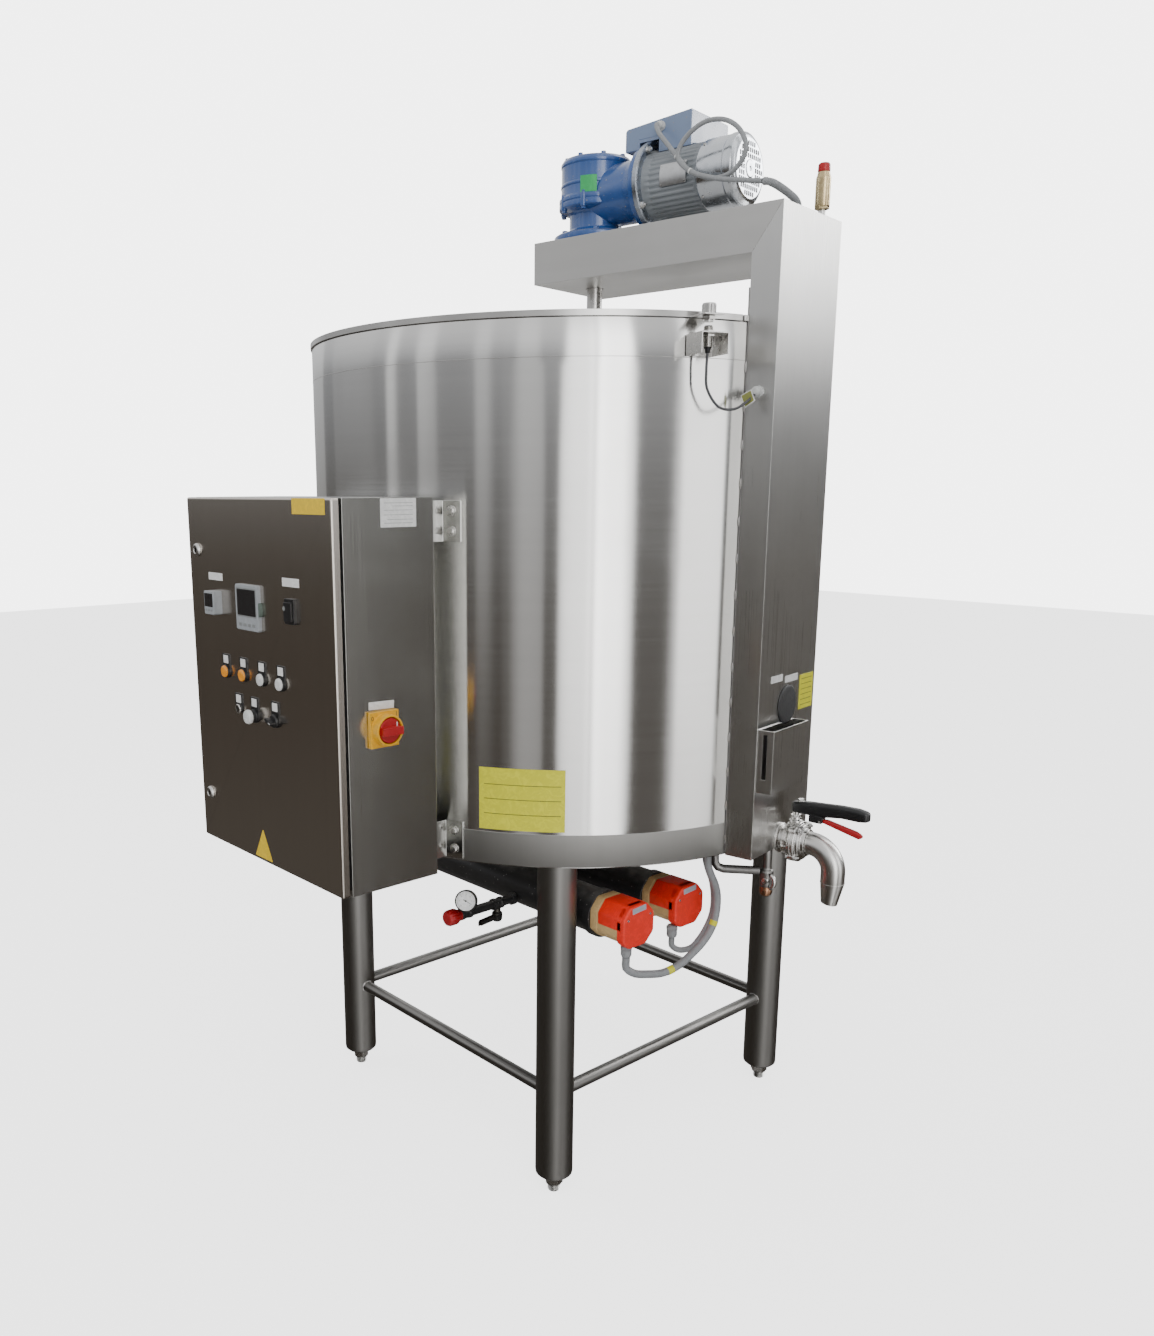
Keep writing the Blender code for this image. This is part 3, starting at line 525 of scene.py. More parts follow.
@dataclass
class Graph:
    """A node tree, with short calls that place and join its nodes."""

    tree: bpy.types.NodeTree

    def feed(self, node: bpy.types.Node, inputs: dict) -> None:
        """Fills a node's inputs.

        Args:
            node: the node.
            inputs: value or socket for each input, by name or number.
        """
        for key, value in inputs.items():
            if isinstance(value, bpy.types.NodeSocket):
                self.tree.links.new(value, node.inputs[key])
            else:
                node.inputs[key].default_value = value

    def add(self, kind: str, inputs: dict | None = None, **settings: object) -> bpy.types.Node:
        """Places a node.

        Args:
            kind: the node's type, without its ShaderNode prefix.
            inputs: value or socket for each input, by name or number.
            settings: the node's own settings.

        Returns:
            The node.
        """
        node = self.tree.nodes.new("ShaderNode" + kind)
        for key, value in settings.items():
            setattr(node, key, value)
        self.feed(node, inputs or {})
        return node

    def math(self, how: str, a: object, b: object = 0.0) -> bpy.types.NodeSocket:
        """One sum on two values."""
        return self.add("Math", {0: a, 1: b}, operation=how).outputs[0]

    def ranged(self, value: object, low: float, high: float, to_low: float,
               to_high: float) -> bpy.types.NodeSocket:
        """A value taken smoothly from one range to another."""
        ends = {"Value": value, "From Min": low, "From Max": high, "To Min": to_low, "To Max": to_high}
        return self.add("MapRange", ends, interpolation_type="SMOOTHSTEP").outputs["Result"]

    def mixed(self, share: object, a: object, b: object) -> bpy.types.NodeSocket:
        """Two colours mixed by a share."""
        return self.add("Mix", {0: share, 6: a, 7: b}, data_type="RGBA").outputs[2]

    def noise(self, vector: object, scale: object, detail: float = 3.0,
              rough: float = 0.5) -> bpy.types.NodeSocket:
        """A noise value."""
        inputs = {"Vector": vector, "Scale": scale, "Detail": detail, "Roughness": rough}
        return self.add("TexNoise", inputs).outputs[0]

    def mask(self, tree: bpy.types.NodeTree, place: object, **values: float) -> bpy.types.NodeSocket:
        """The mask that one of the shared effects gives at a place."""
        return self.add("Group", {"Vector": place, **values}, node_tree=tree).outputs["Mask"]

    def bump(self, height: object, depth: float, strength: float = 1.0) -> bpy.types.NodeSocket:
        """A normal from a height; depth is in metres."""
        return self.add("Bump", {"Height": height, "Distance": depth, "Strength": strength}).outputs[0]


def effect(name: str, inputs: dict[str, tuple[str, float | None]], outputs: Sequence[str],
           build: Callable[[Graph, dict], dict]) -> bpy.types.NodeTree:
    """A shader node group made once.

    Args:
        name: the group's name.
        inputs: kind and first value of each input, by name.
        outputs: names of the outputs, each a value.
        build: makes the nodes from the input sockets and gives a socket for each output.

    Returns:
        The group.
    """
    made = bpy.data.node_groups.get(name)
    if made:
        return made
    made = bpy.data.node_groups.new(name, "ShaderNodeTree")
    for word, (kind, value) in inputs.items():
        socket = made.interface.new_socket(word, in_out="INPUT", socket_type="NodeSocket" + kind)
        if value is not None:
            socket.default_value = value
    for word in outputs:
        made.interface.new_socket(word, in_out="OUTPUT", socket_type="NodeSocketFloat")
    graph = Graph(made)
    entry = made.nodes.new("NodeGroupInput")
    leave = made.nodes.new("NodeGroupOutput")
    for word, socket in build(graph, {word: entry.outputs[word] for word in inputs}).items():
        made.links.new(socket, leave.inputs[word])
    return made


def brush_lines() -> bpy.types.NodeTree:
    """Brush lines from a stretched place: fine ones, and the slow drift between passes.

    Returns:
        The group.
    """

    def build(graph: Graph, given: dict) -> dict:
        """Two noises on the same stretched place."""
        return {"Lines": graph.noise(given["Vector"], given["Fine"], 4.0, 0.7),
                "Passes": graph.noise(given["Vector"], given["Broad"], 2.0)}

    inputs = {"Vector": ("Vector", None), "Fine": ("Float", 1.0), "Broad": ("Float", 0.1)}
    return effect("brush_lines", inputs, ("Lines", "Passes"), build)


def smudges() -> bpy.types.NodeTree:
    """Soft patches where hands and cloths have been.

    Returns:
        The group.
    """

    def build(graph: Graph, given: dict) -> dict:
        """A warped noise brought to a soft mask.

        Args:
            graph: the group's nodes.
            given: the input sockets by name.

        Returns:
            A socket for each output.
        """
        warp = graph.add("TexNoise", {"Vector": given["Vector"], "Scale": given["Size"], "Detail": 2.0})
        bent = graph.add("VectorMath", {0: given["Vector"], 1: warp.outputs["Color"]}, operation="ADD")
        patch = graph.noise(bent.outputs[0], given["Size"], 4.0, 0.6)
        return {"Mask": graph.ranged(patch, 0.42, 0.68, 0.0, 1.0)}

    return effect("smudges", {"Vector": ("Vector", None), "Size": ("Float", 3.0)}, ("Mask",), build)


def specks() -> bpy.types.NodeTree:
    """Small scattered specks.

    Returns:
        The group.
    """

    def build(graph: Graph, given: dict) -> dict:
        """Round cells of which only the few near a point's middle stay.

        Args:
            graph: the group's nodes.
            given: the input sockets by name.

        Returns:
            A socket for each output.
        """
        cells = graph.add("TexVoronoi", {"Vector": given["Vector"], "Scale": given["Scale"],
                                         "Randomness": 1.0})
        few = graph.noise(given["Vector"], given["Scale"], 1.0)
        near = graph.ranged(cells.outputs["Distance"], 0.12, 0.2, 1.0, 0.0)
        return {"Mask": graph.math("MULTIPLY", near, graph.ranged(few, 0.5, 0.6, 0.0, 1.0))}

    return effect("specks", {"Vector": ("Vector", None), "Scale": ("Float", 60.0)}, ("Mask",), build)


def settled_dust() -> bpy.types.NodeTree:
    """Thin dust where a surface looks upward.

    Returns:
        The group.
    """

    def build(graph: Graph, given: dict) -> dict:
        """The normal's upward part, broken by noise.

        Args:
            graph: the group's nodes.
            given: the input sockets by name.

        Returns:
            A socket for each output.
        """
        normal = graph.add("NewGeometry").outputs["Normal"]
        lift = graph.add("SeparateXYZ", {0: normal}).outputs["Z"]
        flat = graph.ranged(lift, 0.55, 1.0, 0.0, 1.0)
        patch = graph.ranged(graph.noise(given["Vector"], 14.0, 5.0, 0.65), 0.3, 0.75, 0.25, 1.0)
        return {"Mask": graph.math("MULTIPLY", graph.math("MULTIPLY", flat, patch), given["Amount"])}

    return effect("settled_dust", {"Vector": ("Vector", None), "Amount": ("Float", 0.2)}, ("Mask",), build)


class Grain(Enum):
    """Which way the brush lines run: how a place is stretched to draw them, and the turn of the gloss."""

    LEVEL = ((2.5, 2.5, 800.0), 0.25)
    UPRIGHT = ((800.0, 800.0, 2.0), 0.0)
    BEAM = ((2.0, 800.0, 800.0), 0.25)
    NONE = ((90.0, 90.0, 90.0), 0.0)


@dataclass(frozen=True)
class Finish:
    """What every finish has: a name, the record's slot, a tone and how rough it is."""

    name: str
    slot: str | None
    tone: Colour
    rough: float

    def material(self) -> bpy.types.Material:
        """The finish as a material, made once.

        Returns:
            The material.
        """
        found = bpy.data.materials.get(self.name + "_finish")
        if found:
            return found
        made = bpy.data.materials.new(self.name + "_finish")
        made.use_nodes = True
        made.diffuse_color = (*self.tone, 1.0)
        graph = Graph(made.node_tree)
        place = graph.add("TexCoord").outputs["Object"]
        graph.feed(made.node_tree.nodes["Principled BSDF"], self.dress(graph, place))
        return made

    def dress(self, graph: Graph, place: bpy.types.NodeSocket) -> dict:
        """A value or socket for each of the shader's inputs, from the nodes that this finish adds."""
        raise NotImplementedError

    def shades(self, dark: float, light: float) -> tuple[tuple, tuple]:
        """The tone made darker and lighter, each as a colour with alpha."""
        low, high = (tuple(min(1.0, c * k) for c in self.tone) + (1.0,) for k in (dark, light))
        return low, high


@dataclass(frozen=True)
class Steel(Finish):
    """Brushed stainless steel."""

    grain: Grain = Grain.LEVEL
    sheen: float = 0.75
    turn: float = 0.0
    grime: float = 0.2

    def dress(self, graph: Graph, place: bpy.types.NodeSocket) -> dict:
        """Brush lines in height and gloss, soft smudges in gloss and tone.

        Args:
            graph: the material's nodes.
            place: object coordinates.

        Returns:
            A value or socket for each input of the shader.
        """
        stretch, lie = self.grain.value
        square = graph.add("Mapping", {"Vector": place, "Rotation": (0, 0, -self.turn)}).outputs[0]
        drawn = graph.add("Mapping", {"Vector": square, "Scale": stretch}).outputs[0]
        brushed = graph.add("Group", {"Vector": drawn, "Fine": 1.0, "Broad": 0.06}, node_tree=brush_lines())
        lines, passes = brushed.outputs
        hands = graph.mask(smudges(), place, Size=2.6)
        tone = graph.mixed(passes, *self.shades(0.96, 1.03))
        tone = graph.mixed(graph.math("MULTIPLY", hands, self.grime), tone, self.shades(0.86, 1.0)[0])
        tone = graph.mixed(graph.mask(settled_dust(), place, Amount=0.25), tone, (0.42, 0.41, 0.39, 1.0))
        rough = graph.ranged(lines, 0.3, 0.7, self.rough - 0.02, self.rough + 0.02)
        rough = graph.math("ADD", rough, graph.math("MULTIPLY", hands, 0.1 * self.grime))
        return {"Base Color": tone, "Roughness": rough, "Metallic": 1.0, "Anisotropic": self.sheen,
                "Anisotropic Rotation": lie, "Normal": graph.bump(lines, 0.00003, 0.05)}


@dataclass(frozen=True)
class Metal(Finish):
    """Cast, plated or dull metal without a grain."""

    stain: Colour = (0.2, 0.18, 0.15)
    size: float = 180.0
    depth: float = 0.00008

    def dress(self, graph: Graph, place: bpy.types.NodeSocket) -> dict:
        """A fine cast skin, stained in the hollows of a slow noise.

        Args:
            graph: the material's nodes.
            place: object coordinates.

        Returns:
            A value or socket for each input of the shader.
        """
        skin = graph.noise(place, self.size, 4.0, 0.6)
        hands = graph.mask(smudges(), place, Size=11.0)
        tone = graph.mixed(skin, *self.shades(0.82, 1.08))
        tone = graph.mixed(graph.math("MULTIPLY", hands, 0.4), tone, (*self.stain, 1.0))
        tone = graph.mixed(graph.mask(settled_dust(), place, Amount=0.35), tone, (0.4, 0.38, 0.35, 1.0))
        rough = graph.ranged(skin, 0.3, 0.7, self.rough - 0.06, self.rough + 0.08)
        return {"Base Color": tone, "Roughness": rough, "Metallic": 1.0,
                "Normal": graph.bump(skin, self.depth)}


@dataclass(frozen=True)
class Paint(Finish):
    """Sprayed paint with its orange peel, chips and dust."""

    chip: Colour = (0.25, 0.24, 0.23)
    coat: float = 0.3

    def dress(self, graph: Graph, place: bpy.types.NodeSocket) -> dict:
        """Orange peel in height, slow drift in tone, few chips and dust on top.

        Args:
            graph: the material's nodes.
            place: object coordinates.

        Returns:
            A value or socket for each input of the shader.
        """
        drift = graph.noise(place, 9.0, 4.0, 0.6)
        chips = graph.mask(specks(), place, Scale=95.0)
        tone = graph.mixed(drift, *self.shades(0.78, 1.15))
        tone = graph.mixed(graph.math("MULTIPLY", chips, 0.7), tone, (*self.chip, 1.0))
        tone = graph.mixed(graph.mask(settled_dust(), place, Amount=0.5), tone, (0.45, 0.44, 0.42, 1.0))
        return {"Base Color": tone,
                "Roughness": graph.ranged(drift, 0.3, 0.7, self.rough - 0.05, self.rough + 0.12),
                "Coat Weight": self.coat, "Coat Roughness": 0.12,
                "Normal": graph.bump(graph.noise(place, 320.0, 2.0), 0.00012)}


@dataclass(frozen=True)
class Plastic(Finish):
    """Moulded plastic: a fine eroded skin, rubbed lighter in patches."""

    skin: float = 700.0
    clear: float = 0.0

    def dress(self, graph: Graph, place: bpy.types.NodeSocket) -> dict:
        """Fine skin in height, patches in tone and gloss.

        Args:
            graph: the material's nodes.
            place: object coordinates.

        Returns:
            A value or socket for each input of the shader.
        """
        rubbed = graph.mask(smudges(), place, Size=16.0)
        dirt = graph.mask(specks(), place, Scale=240.0)
        tone = graph.mixed(rubbed, *self.shades(0.93, 1.08))
        tone = graph.mixed(graph.math("MULTIPLY", dirt, 0.35), tone, (0.18, 0.17, 0.15, 1.0))
        return {"Base Color": tone,
                "Roughness": graph.ranged(rubbed, 0.0, 1.0, self.rough - 0.03, self.rough + 0.07),
                "Coat Weight": self.clear, "Normal": graph.bump(graph.noise(place, self.skin, 2.0), 0.00004)}


@dataclass(frozen=True)
class Glass(Finish):
    """A clear window."""

    def dress(self, graph: Graph, place: bpy.types.NodeSocket) -> dict:
        """Plain clear glass with a little haze in its gloss.

        Args:
            graph: the material's nodes.
            place: object coordinates.

        Returns:
            A value or socket for each input of the shader.
        """
        haze = graph.mask(smudges(), place, Size=30.0)
        return {"Base Color": (*self.tone, 1.0),
                "Roughness": graph.ranged(haze, 0.0, 1.0, self.rough, self.rough + 0.08),
                "Transmission Weight": 1.0, "IOR": 1.2}


PALE = (0.6, 0.595, 0.58)
SHELL = Steel("brushed_shell", "brushed_steel", (0.66, 0.655, 0.64), 0.165, Grain.LEVEL, 0.9)
SHELL_BAND = Steel("brushed_band", "brushed_steel", (0.52, 0.515, 0.5), 0.27, Grain.LEVEL, 0.85)
# The foot band is the shell's steel with a much darker tone: painted shade for the dim surroundings that the
# low band mirrors.
SHADED_FOOT_BAND = Steel("shaded_foot_band", "brushed_steel", (0.26, 0.256, 0.245), 0.38, Grain.UPRIGHT, 0.85)
PANEL = Steel("brushed_panel", "brushed_steel", (0.55, 0.55, 0.53), 0.17, Grain.UPRIGHT, 0.3)
DOOR_SHEET = Steel("brushed_door", "brushed_steel", (0.6, 0.555, 0.505), 0.2, Grain.UPRIGHT, 0.3)
SPOUT = Steel("polished_spout", "brushed_steel", (0.6, 0.59, 0.57), 0.3, Grain.NONE, 0.0)
COLUMN = Steel("brushed_column", "brushed_steel", PALE, 0.29, Grain.UPRIGHT, 0.8, ARM_TURN)
BEAM = Steel("brushed_beam", "brushed_steel", PALE, 0.33, Grain.BEAM, 0.7, ARM_TURN)
TUBE = Steel("ground_tube", "brushed_steel", (0.235, 0.23, 0.22), 0.34, Grain.UPRIGHT, 0.8)
BRIGHT = Steel("bright_steel", "brushed_steel", (0.64, 0.63, 0.61), 0.27, Grain.NONE, 0.0)
# A dark steel tone as painted shade: on the drain pipe lying in shadow, and in the crease between column and
# tank.
SHADED_STEEL = Steel("shaded_steel", "brushed_steel", (0.2, 0.195, 0.19), 0.42, Grain.NONE, 0.0)
LID = Steel("brushed_lid", "brushed_steel", PALE, 0.33, Grain.BEAM, 0.6, ARM_TURN)
WELD = Metal("weld_bead", "brushed_steel", (0.46, 0.455, 0.45), 0.32, (0.3, 0.25, 0.18), 420.0, 0.0002)
DARK = Metal("dark_steel", "dark_steel", (0.045, 0.043, 0.042), 0.42)
BLACK_PIPE = Paint("black_pipe", "dark_steel", (0.02, 0.02, 0.021), 0.42)
ZINC = Metal("zinc_plate", "brushed_steel", (0.66, 0.66, 0.65), 0.26, (0.45, 0.43, 0.38), 260.0, 0.00004)
PRESSED = Metal("pressed_alloy", "cast_alloy", (0.64, 0.67, 0.71), 0.2, (0.66, 0.67, 0.68), 60.0, 0.0)
BLUE = Paint("blue_paint", "blue_paint", (0.018, 0.075, 0.26), 0.24, coat=0.9)
GREY_BLUE = Paint("grey_blue_paint", "grey_blue_paint", (0.17, 0.23, 0.36), 0.3, coat=0.5)
MOTOR_GREY = Paint("motor_paint", "dark_grey_paint", (0.21, 0.23, 0.25), 0.34)
SHIELD = Metal("motor_shield", "dark_grey_paint", (0.42, 0.46, 0.52), 0.3)
BRASS = Metal("brass", "brass", (0.62, 0.5, 0.28), 0.28, (0.3, 0.2, 0.1))
COPPER = Metal("copper", "brass", (0.5, 0.27, 0.16), 0.32, (0.22, 0.12, 0.07))
BLACK = Plastic("black_plastic", "black_plastic", (0.011, 0.011, 0.012), 0.36)
RUBBER = Plastic("black_rubber", "black_plastic", (0.022, 0.022, 0.023), 0.62, 420.0)
DISPLAY = Plastic("dark_window", "black_plastic", (0.012, 0.012, 0.014), 0.12, 60.0, 0.6)
LIGHT = Plastic("light_grey_plastic", "light_grey_plastic", (0.6, 0.61, 0.6), 0.42)
MID_GREY = Plastic("mid_grey_plastic", "light_grey_plastic", (0.22, 0.23, 0.23), 0.45)
ORANGE = Plastic("orange_plastic", "orange_plastic", (0.92, 0.026, 0.008), 0.42, 500.0)
TAN = Plastic("tan_gasket", "orange_plastic", (0.62, 0.42, 0.19), 0.6, 260.0)
AMBER = Plastic("amber_lens", "amber_lens", (0.9, 0.33, 0.02), 0.18, 300.0, 0.5)
MILK = Plastic("white_lens", "white_lens", (0.74, 0.75, 0.74), 0.22, 300.0, 0.4)
YELLOW = Plastic("yellow_plastic", "yellow_plastic", (0.8, 0.42, 0.01), 0.36)
RED = Plastic("red_plastic", "red_plastic", (0.42, 0.007, 0.01), 0.34)
CASE_GREY = Plastic("case_grey", "light_grey_plastic", (0.33, 0.35, 0.37), 0.42)
LATCH_GREEN = Plastic("latch_green", "light_grey_plastic", (0.1, 0.135, 0.115), 0.45)
GLAND_GREY = Plastic("gland_grey", "light_grey_plastic", (0.3, 0.31, 0.32), 0.45)
PLATE_GREY = Plastic("grey_label", "light_grey_plastic", (0.42, 0.44, 0.5), 0.4, 900.0)
PAPER = Plastic("white_label", "white_lens", (0.8, 0.8, 0.79), 0.5, 900.0)
VINYL = Plastic("yellow_label", "yellow_plastic", (0.74, 0.72, 0.03), 0.42, 900.0)
AMBER_VINYL = Plastic("amber_label", "yellow_plastic", (0.82, 0.56, 0.02), 0.42, 900.0)
GREEN_VINYL = Plastic("green_label", None, (0.03, 0.42, 0.12), 0.42, 900.0)
PLATE = Metal("rating_plate", "cast_alloy", (0.6, 0.61, 0.62), 0.34, (0.4, 0.4, 0.4))
# Black for print and marks, and also painted shade for the fan cover's open slots.
INK_AND_SHADE = Plastic("black_ink_and_shade", "black_plastic", (0.03, 0.03, 0.03), 0.5, 900.0)
SHEATH = Plastic("grey_sheath", "grey_cable", (0.27, 0.28, 0.29), 0.45, 500.0)
DARK_SHEATH = Plastic("dark_sheath", "grey_cable", (0.07, 0.07, 0.075), 0.5, 500.0)
TAG = Plastic("olive_tag", "yellow_plastic", (0.24, 0.25, 0.07), 0.4, 500.0)
WINDOW = Glass("clear_window", None, (1.0, 1.0, 1.0), 0.02)


# ---- pieces ----


# Degrees from which an edge is sharp, up to which faces are one flat face, and from which an edge is rounded;
# and the distance under which points are one.
SHARP = 38.0
FLAT_TURN = 0.6
BEVEL_FROM = 32.0
DOUBLES = 1e-6


def settle(mesh: bpy.types.Mesh, finish: Finish, body: str, replaces: str = "", smooth: float = SHARP,
           edge: float = 0.0) -> bpy.types.Object:
    """Makes a mesh a finished piece on a body, under the mesh's own name.

    Args:
        mesh: the mesh, in the part's own frame.
        finish: its finish.
        body: the body it moves with.
        replaces: the solid that it stands for.
        smooth: angle in degrees past which an edge stays sharp.
        edge: width of the round on its sharp edges, in metres.

    Returns:
        The object.
    """
    mesh.shade_smooth()
    mesh.set_sharp_from_angle(angle=np.radians(smooth))
    mesh.materials.clear()
    mesh.materials.append(finish.material())
    made = bpy.data.objects.new(mesh.name, mesh)
    bpy.context.scene.collection.objects.link(made)
    if edge:
        bevel = made.modifiers.new("edge", "BEVEL")
        bevel.width, bevel.segments, bevel.limit_method = edge, 3, "ANGLE"
        bevel.angle_limit, bevel.harden_normals = np.radians(BEVEL_FROM), True
    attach(made, body)
    if replaces:
        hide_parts(replaces)
    LOG.info("%s: %d faces, %s, on %s", made.name, len(mesh.polygons), finish.name, body)
    return made


def piece(name: str, form: Form, finish: Finish, replaces: str = "", body: str = "machine",
          smooth: float = SHARP) -> bpy.types.Object:
    """Makes a form a finished piece, its doubles merged and its faces turned outward.

    Args:
        name: the piece's name.
        form: its shape, in the part's own frame.
        finish: its finish.
        replaces: the solid that it stands for.
        body: the body it moves with.
        smooth: angle in degrees past which an edge stays sharp.

    Returns:
        The object.
    """
    mesh = bpy.data.meshes.new(name)
    mesh.from_pydata(form.verts.tolist(), [], form.quads.tolist() + [gon.tolist() for gon in form.gons])
    work = bmesh.new()
    work.from_mesh(mesh)
    bmesh.ops.remove_doubles(work, verts=work.verts, dist=DOUBLES)
    bmesh.ops.dissolve_degenerate(work, edges=work.edges, dist=DOUBLES / 10)
    bmesh.ops.recalc_face_normals(work, faces=work.faces)
    work.to_mesh(mesh)
    work.free()
    return settle(mesh, finish, body, replaces, smooth)


def softened(node: str, finish: Finish, edge: float = 0.0) -> bpy.types.Object:
    """A solid's own shape as a finished piece: merged, its flat faces made whole, its edges rounded.

    Args:
        node: the solid's name.
        finish: its finish.
        edge: width of the round on its sharp edges, in metres.

    Returns:
        The object.
    """
    source = frame["nodes"][node]
    mesh = source.data.copy()
    mesh.name = node + "_finished"
    work = bmesh.new()
    work.from_mesh(mesh)
    bmesh.ops.remove_doubles(work, verts=work.verts, dist=2 * DOUBLES)
    bmesh.ops.dissolve_limit(work, angle_limit=np.radians(FLAT_TURN), verts=work.verts, edges=work.edges)
    work.to_mesh(mesh)
    work.free()
    for layer in list(mesh.attributes):
        if layer.name == "custom_normal":
            mesh.attributes.remove(layer)
    return settle(mesh, finish, source["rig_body"], node, edge=edge)


# ---- stage ----


@dataclass
class Stage:
    """Floor, light and camera."""

    eye: tuple[float, float, float] = (1.9837, -1.9272, 1.6328)
    yaw: float = 0.8715
    pitch: float = 0.2161
    roll: float = 0.0048
    lens: float = 30.137
    lens_shift: tuple[float, float] = (0.0761, 0.0494)
    floor_size: float = 14.0
    floor_glow: float = 2.4
    soft_light: float = 0.62
    pale_light: float = 5.0

    def build(self) -> None:
        """Makes the floor, the surroundings, the lamps and the camera."""
        self.floor()
        self.surroundings()
        self.lamps()
        self.camera()

    def floor(self) -> None:
        """A plain pale floor that mirrors do not see, so that steel shows the soft surroundings."""
        grid = np.linspace(-self.floor_size, self.floor_size, 5)
        form = woven(np.stack([*np.meshgrid(grid, grid, indexing="ij"), np.zeros((5, 5))], -1))
        mesh = bpy.data.meshes.new("floor")
        mesh.from_pydata(form.verts.tolist(), [], form.quads.tolist())
        ground = bpy.data.objects.new("floor", mesh)
        bpy.context.scene.collection.objects.link(ground)
        made = bpy.data.materials.new("floor")
        made.use_nodes = True
        graph = Graph(made.node_tree)
        shader = made.node_tree.nodes["Principled BSDF"]
        path = graph.add("LightPath").outputs
        glow = graph.math("MULTIPLY", path["Is Camera Ray"], self.floor_glow)
        graph.feed(shader, {"Base Color": (0.85, 0.85, 0.85, 1.0), "Roughness": 0.7,
                            "Specular IOR Level": 0.2, "Emission Color": WHITE, "Emission Strength": glow})
        clear = graph.add("BsdfTransparent")
        both = graph.add("MixShader", {0: path["Is Glossy Ray"], 1: shader.outputs[0], 2: clear.outputs[0]})
        graph.feed(made.node_tree.nodes["Material Output"], {"Surface": both.outputs[0]})
        mesh.materials.append(made)

    def surroundings(self) -> None:
        """A soft room: dim below, bright above, with upright soft panels that the steel shows as stripes.

        Each panel glows with power * band(bearing) * foot(height), where both fade softly.
        """
        world = bpy.data.worlds.new("room")
        bpy.context.scene.world = world
        world.use_nodes = True
        graph = Graph(world.node_tree)
        world.node_tree.nodes.clear()
        look = graph.add("TexCoord").outputs["Generated"]
        parts = graph.add("SeparateXYZ", {0: look}).outputs
        bearing = graph.math("MULTIPLY", graph.math("ARCTAN2", parts[1], parts[0]), DEGREES)
        ramp = graph.add("ValToRGB", {0: graph.ranged(parts[2], -1.0, 1.0, 0.0, 1.0)})
        stops = ramp.color_ramp.elements
        for stop, (height, colour) in zip(stops, (ROOM[0], ROOM[-1])):
            stop.position, stop.color = height, (*colour, 1)
        for height, colour in ROOM[1:-1]:
            stops.new(height).color = (*colour, 1)
        glow = 0.0
        for middle, half, power, start, full, least in PANELS:
            off = graph.math("ABSOLUTE", graph.math("SUBTRACT", bearing, middle))
            band = graph.ranged(off, half - PANEL_FADE, half + PANEL_FADE, power, 0.0)
            foot = graph.ranged(parts[2], start, full, least, 1.0)
            glow = graph.math("ADD", glow, graph.math("MULTIPLY", band, foot))
        glow = graph.math("MULTIPLY", glow, graph.ranged(parts[2], 0.25, 0.6, 1.0, 0.3))
        room = graph.add("MixRGB", {0: 1.0, 1: ramp.outputs[0], 2: glow}, blend_type="ADD")
        seen = graph.add("Background", {"Color": room.outputs[0], "Strength": 1.0})
        soft = graph.add("Background", {"Color": WHITE, "Strength": self.soft_light})
        pale = graph.add("Background", {"Color": WHITE, "Strength": self.pale_light})
        path = graph.add("LightPath").outputs
        mirror = graph.add("MixShader", {0: path["Is Glossy Ray"], 1: soft.outputs[0], 2: seen.outputs[0]})
        final = graph.add("MixShader", {0: path["Is Camera Ray"], 1: mirror.outputs[0], 2: pale.outputs[0]})
        graph.add("OutputWorld", {"Surface": final.outputs[0]})

    def lamps(self) -> None:
        """Two large soft lamps that shape the painted and moulded parts."""
        for name, at, power in (("key", (2.6, -2.2, 4.2), 90.0), ("side", (-3.2, -2.4, 3.0), 40.0)):
            data = bpy.data.lights.new(name, "AREA")
            data.size, data.energy = 3.0, power
            lamp = bpy.data.objects.new(name, data)
            lamp.matrix_world = Matrix(facing(np.array(at) - (0, 0, 1.1), at).tolist())
            lamp.visible_glossy = False
            bpy.context.scene.collection.objects.link(lamp)

    def camera(self) -> None:
        """The photograph's own place and lens."""
        yaw, pitch, roll = self.yaw, self.pitch, self.roll
        ahead = np.array([-np.sin(yaw) * np.cos(pitch), np.cos(yaw) * np.cos(pitch), -np.sin(pitch)])
        right = np.array([np.cos(yaw), np.sin(yaw), 0.0])
        down = np.cross(ahead, right)
        right, down = np.cos(roll) * right + np.sin(roll) * down, -np.sin(roll) * right + np.cos(roll) * down
        matrix = np.eye(4)
        matrix[:3, :3] = np.stack([right, -down, -ahead], 1)
        matrix[:3, 3] = self.eye
        data = bpy.data.cameras.new("camera")
        data.lens, data.sensor_width = self.lens, 36.0
        data.shift_x, data.shift_y = self.lens_shift
        camera = bpy.data.objects.new("camera", data)
        camera.matrix_world = Matrix(matrix.tolist())
        bpy.context.scene.collection.objects.link(camera)
        bpy.context.scene.camera = camera


ROOM = ((0.0, (0.06, 0.05, 0.04)), (0.36, (0.075, 0.063, 0.051)), (0.455, (0.095, 0.084, 0.072)),
        (0.5, (0.16, 0.155, 0.15)), (0.56, (0.28, 0.285, 0.295)), (0.64, (0.66, 0.67, 0.69)),
        (0.76, (0.98, 0.98, 1.0)), (1.0, (1.05, 1.05, 1.05)))
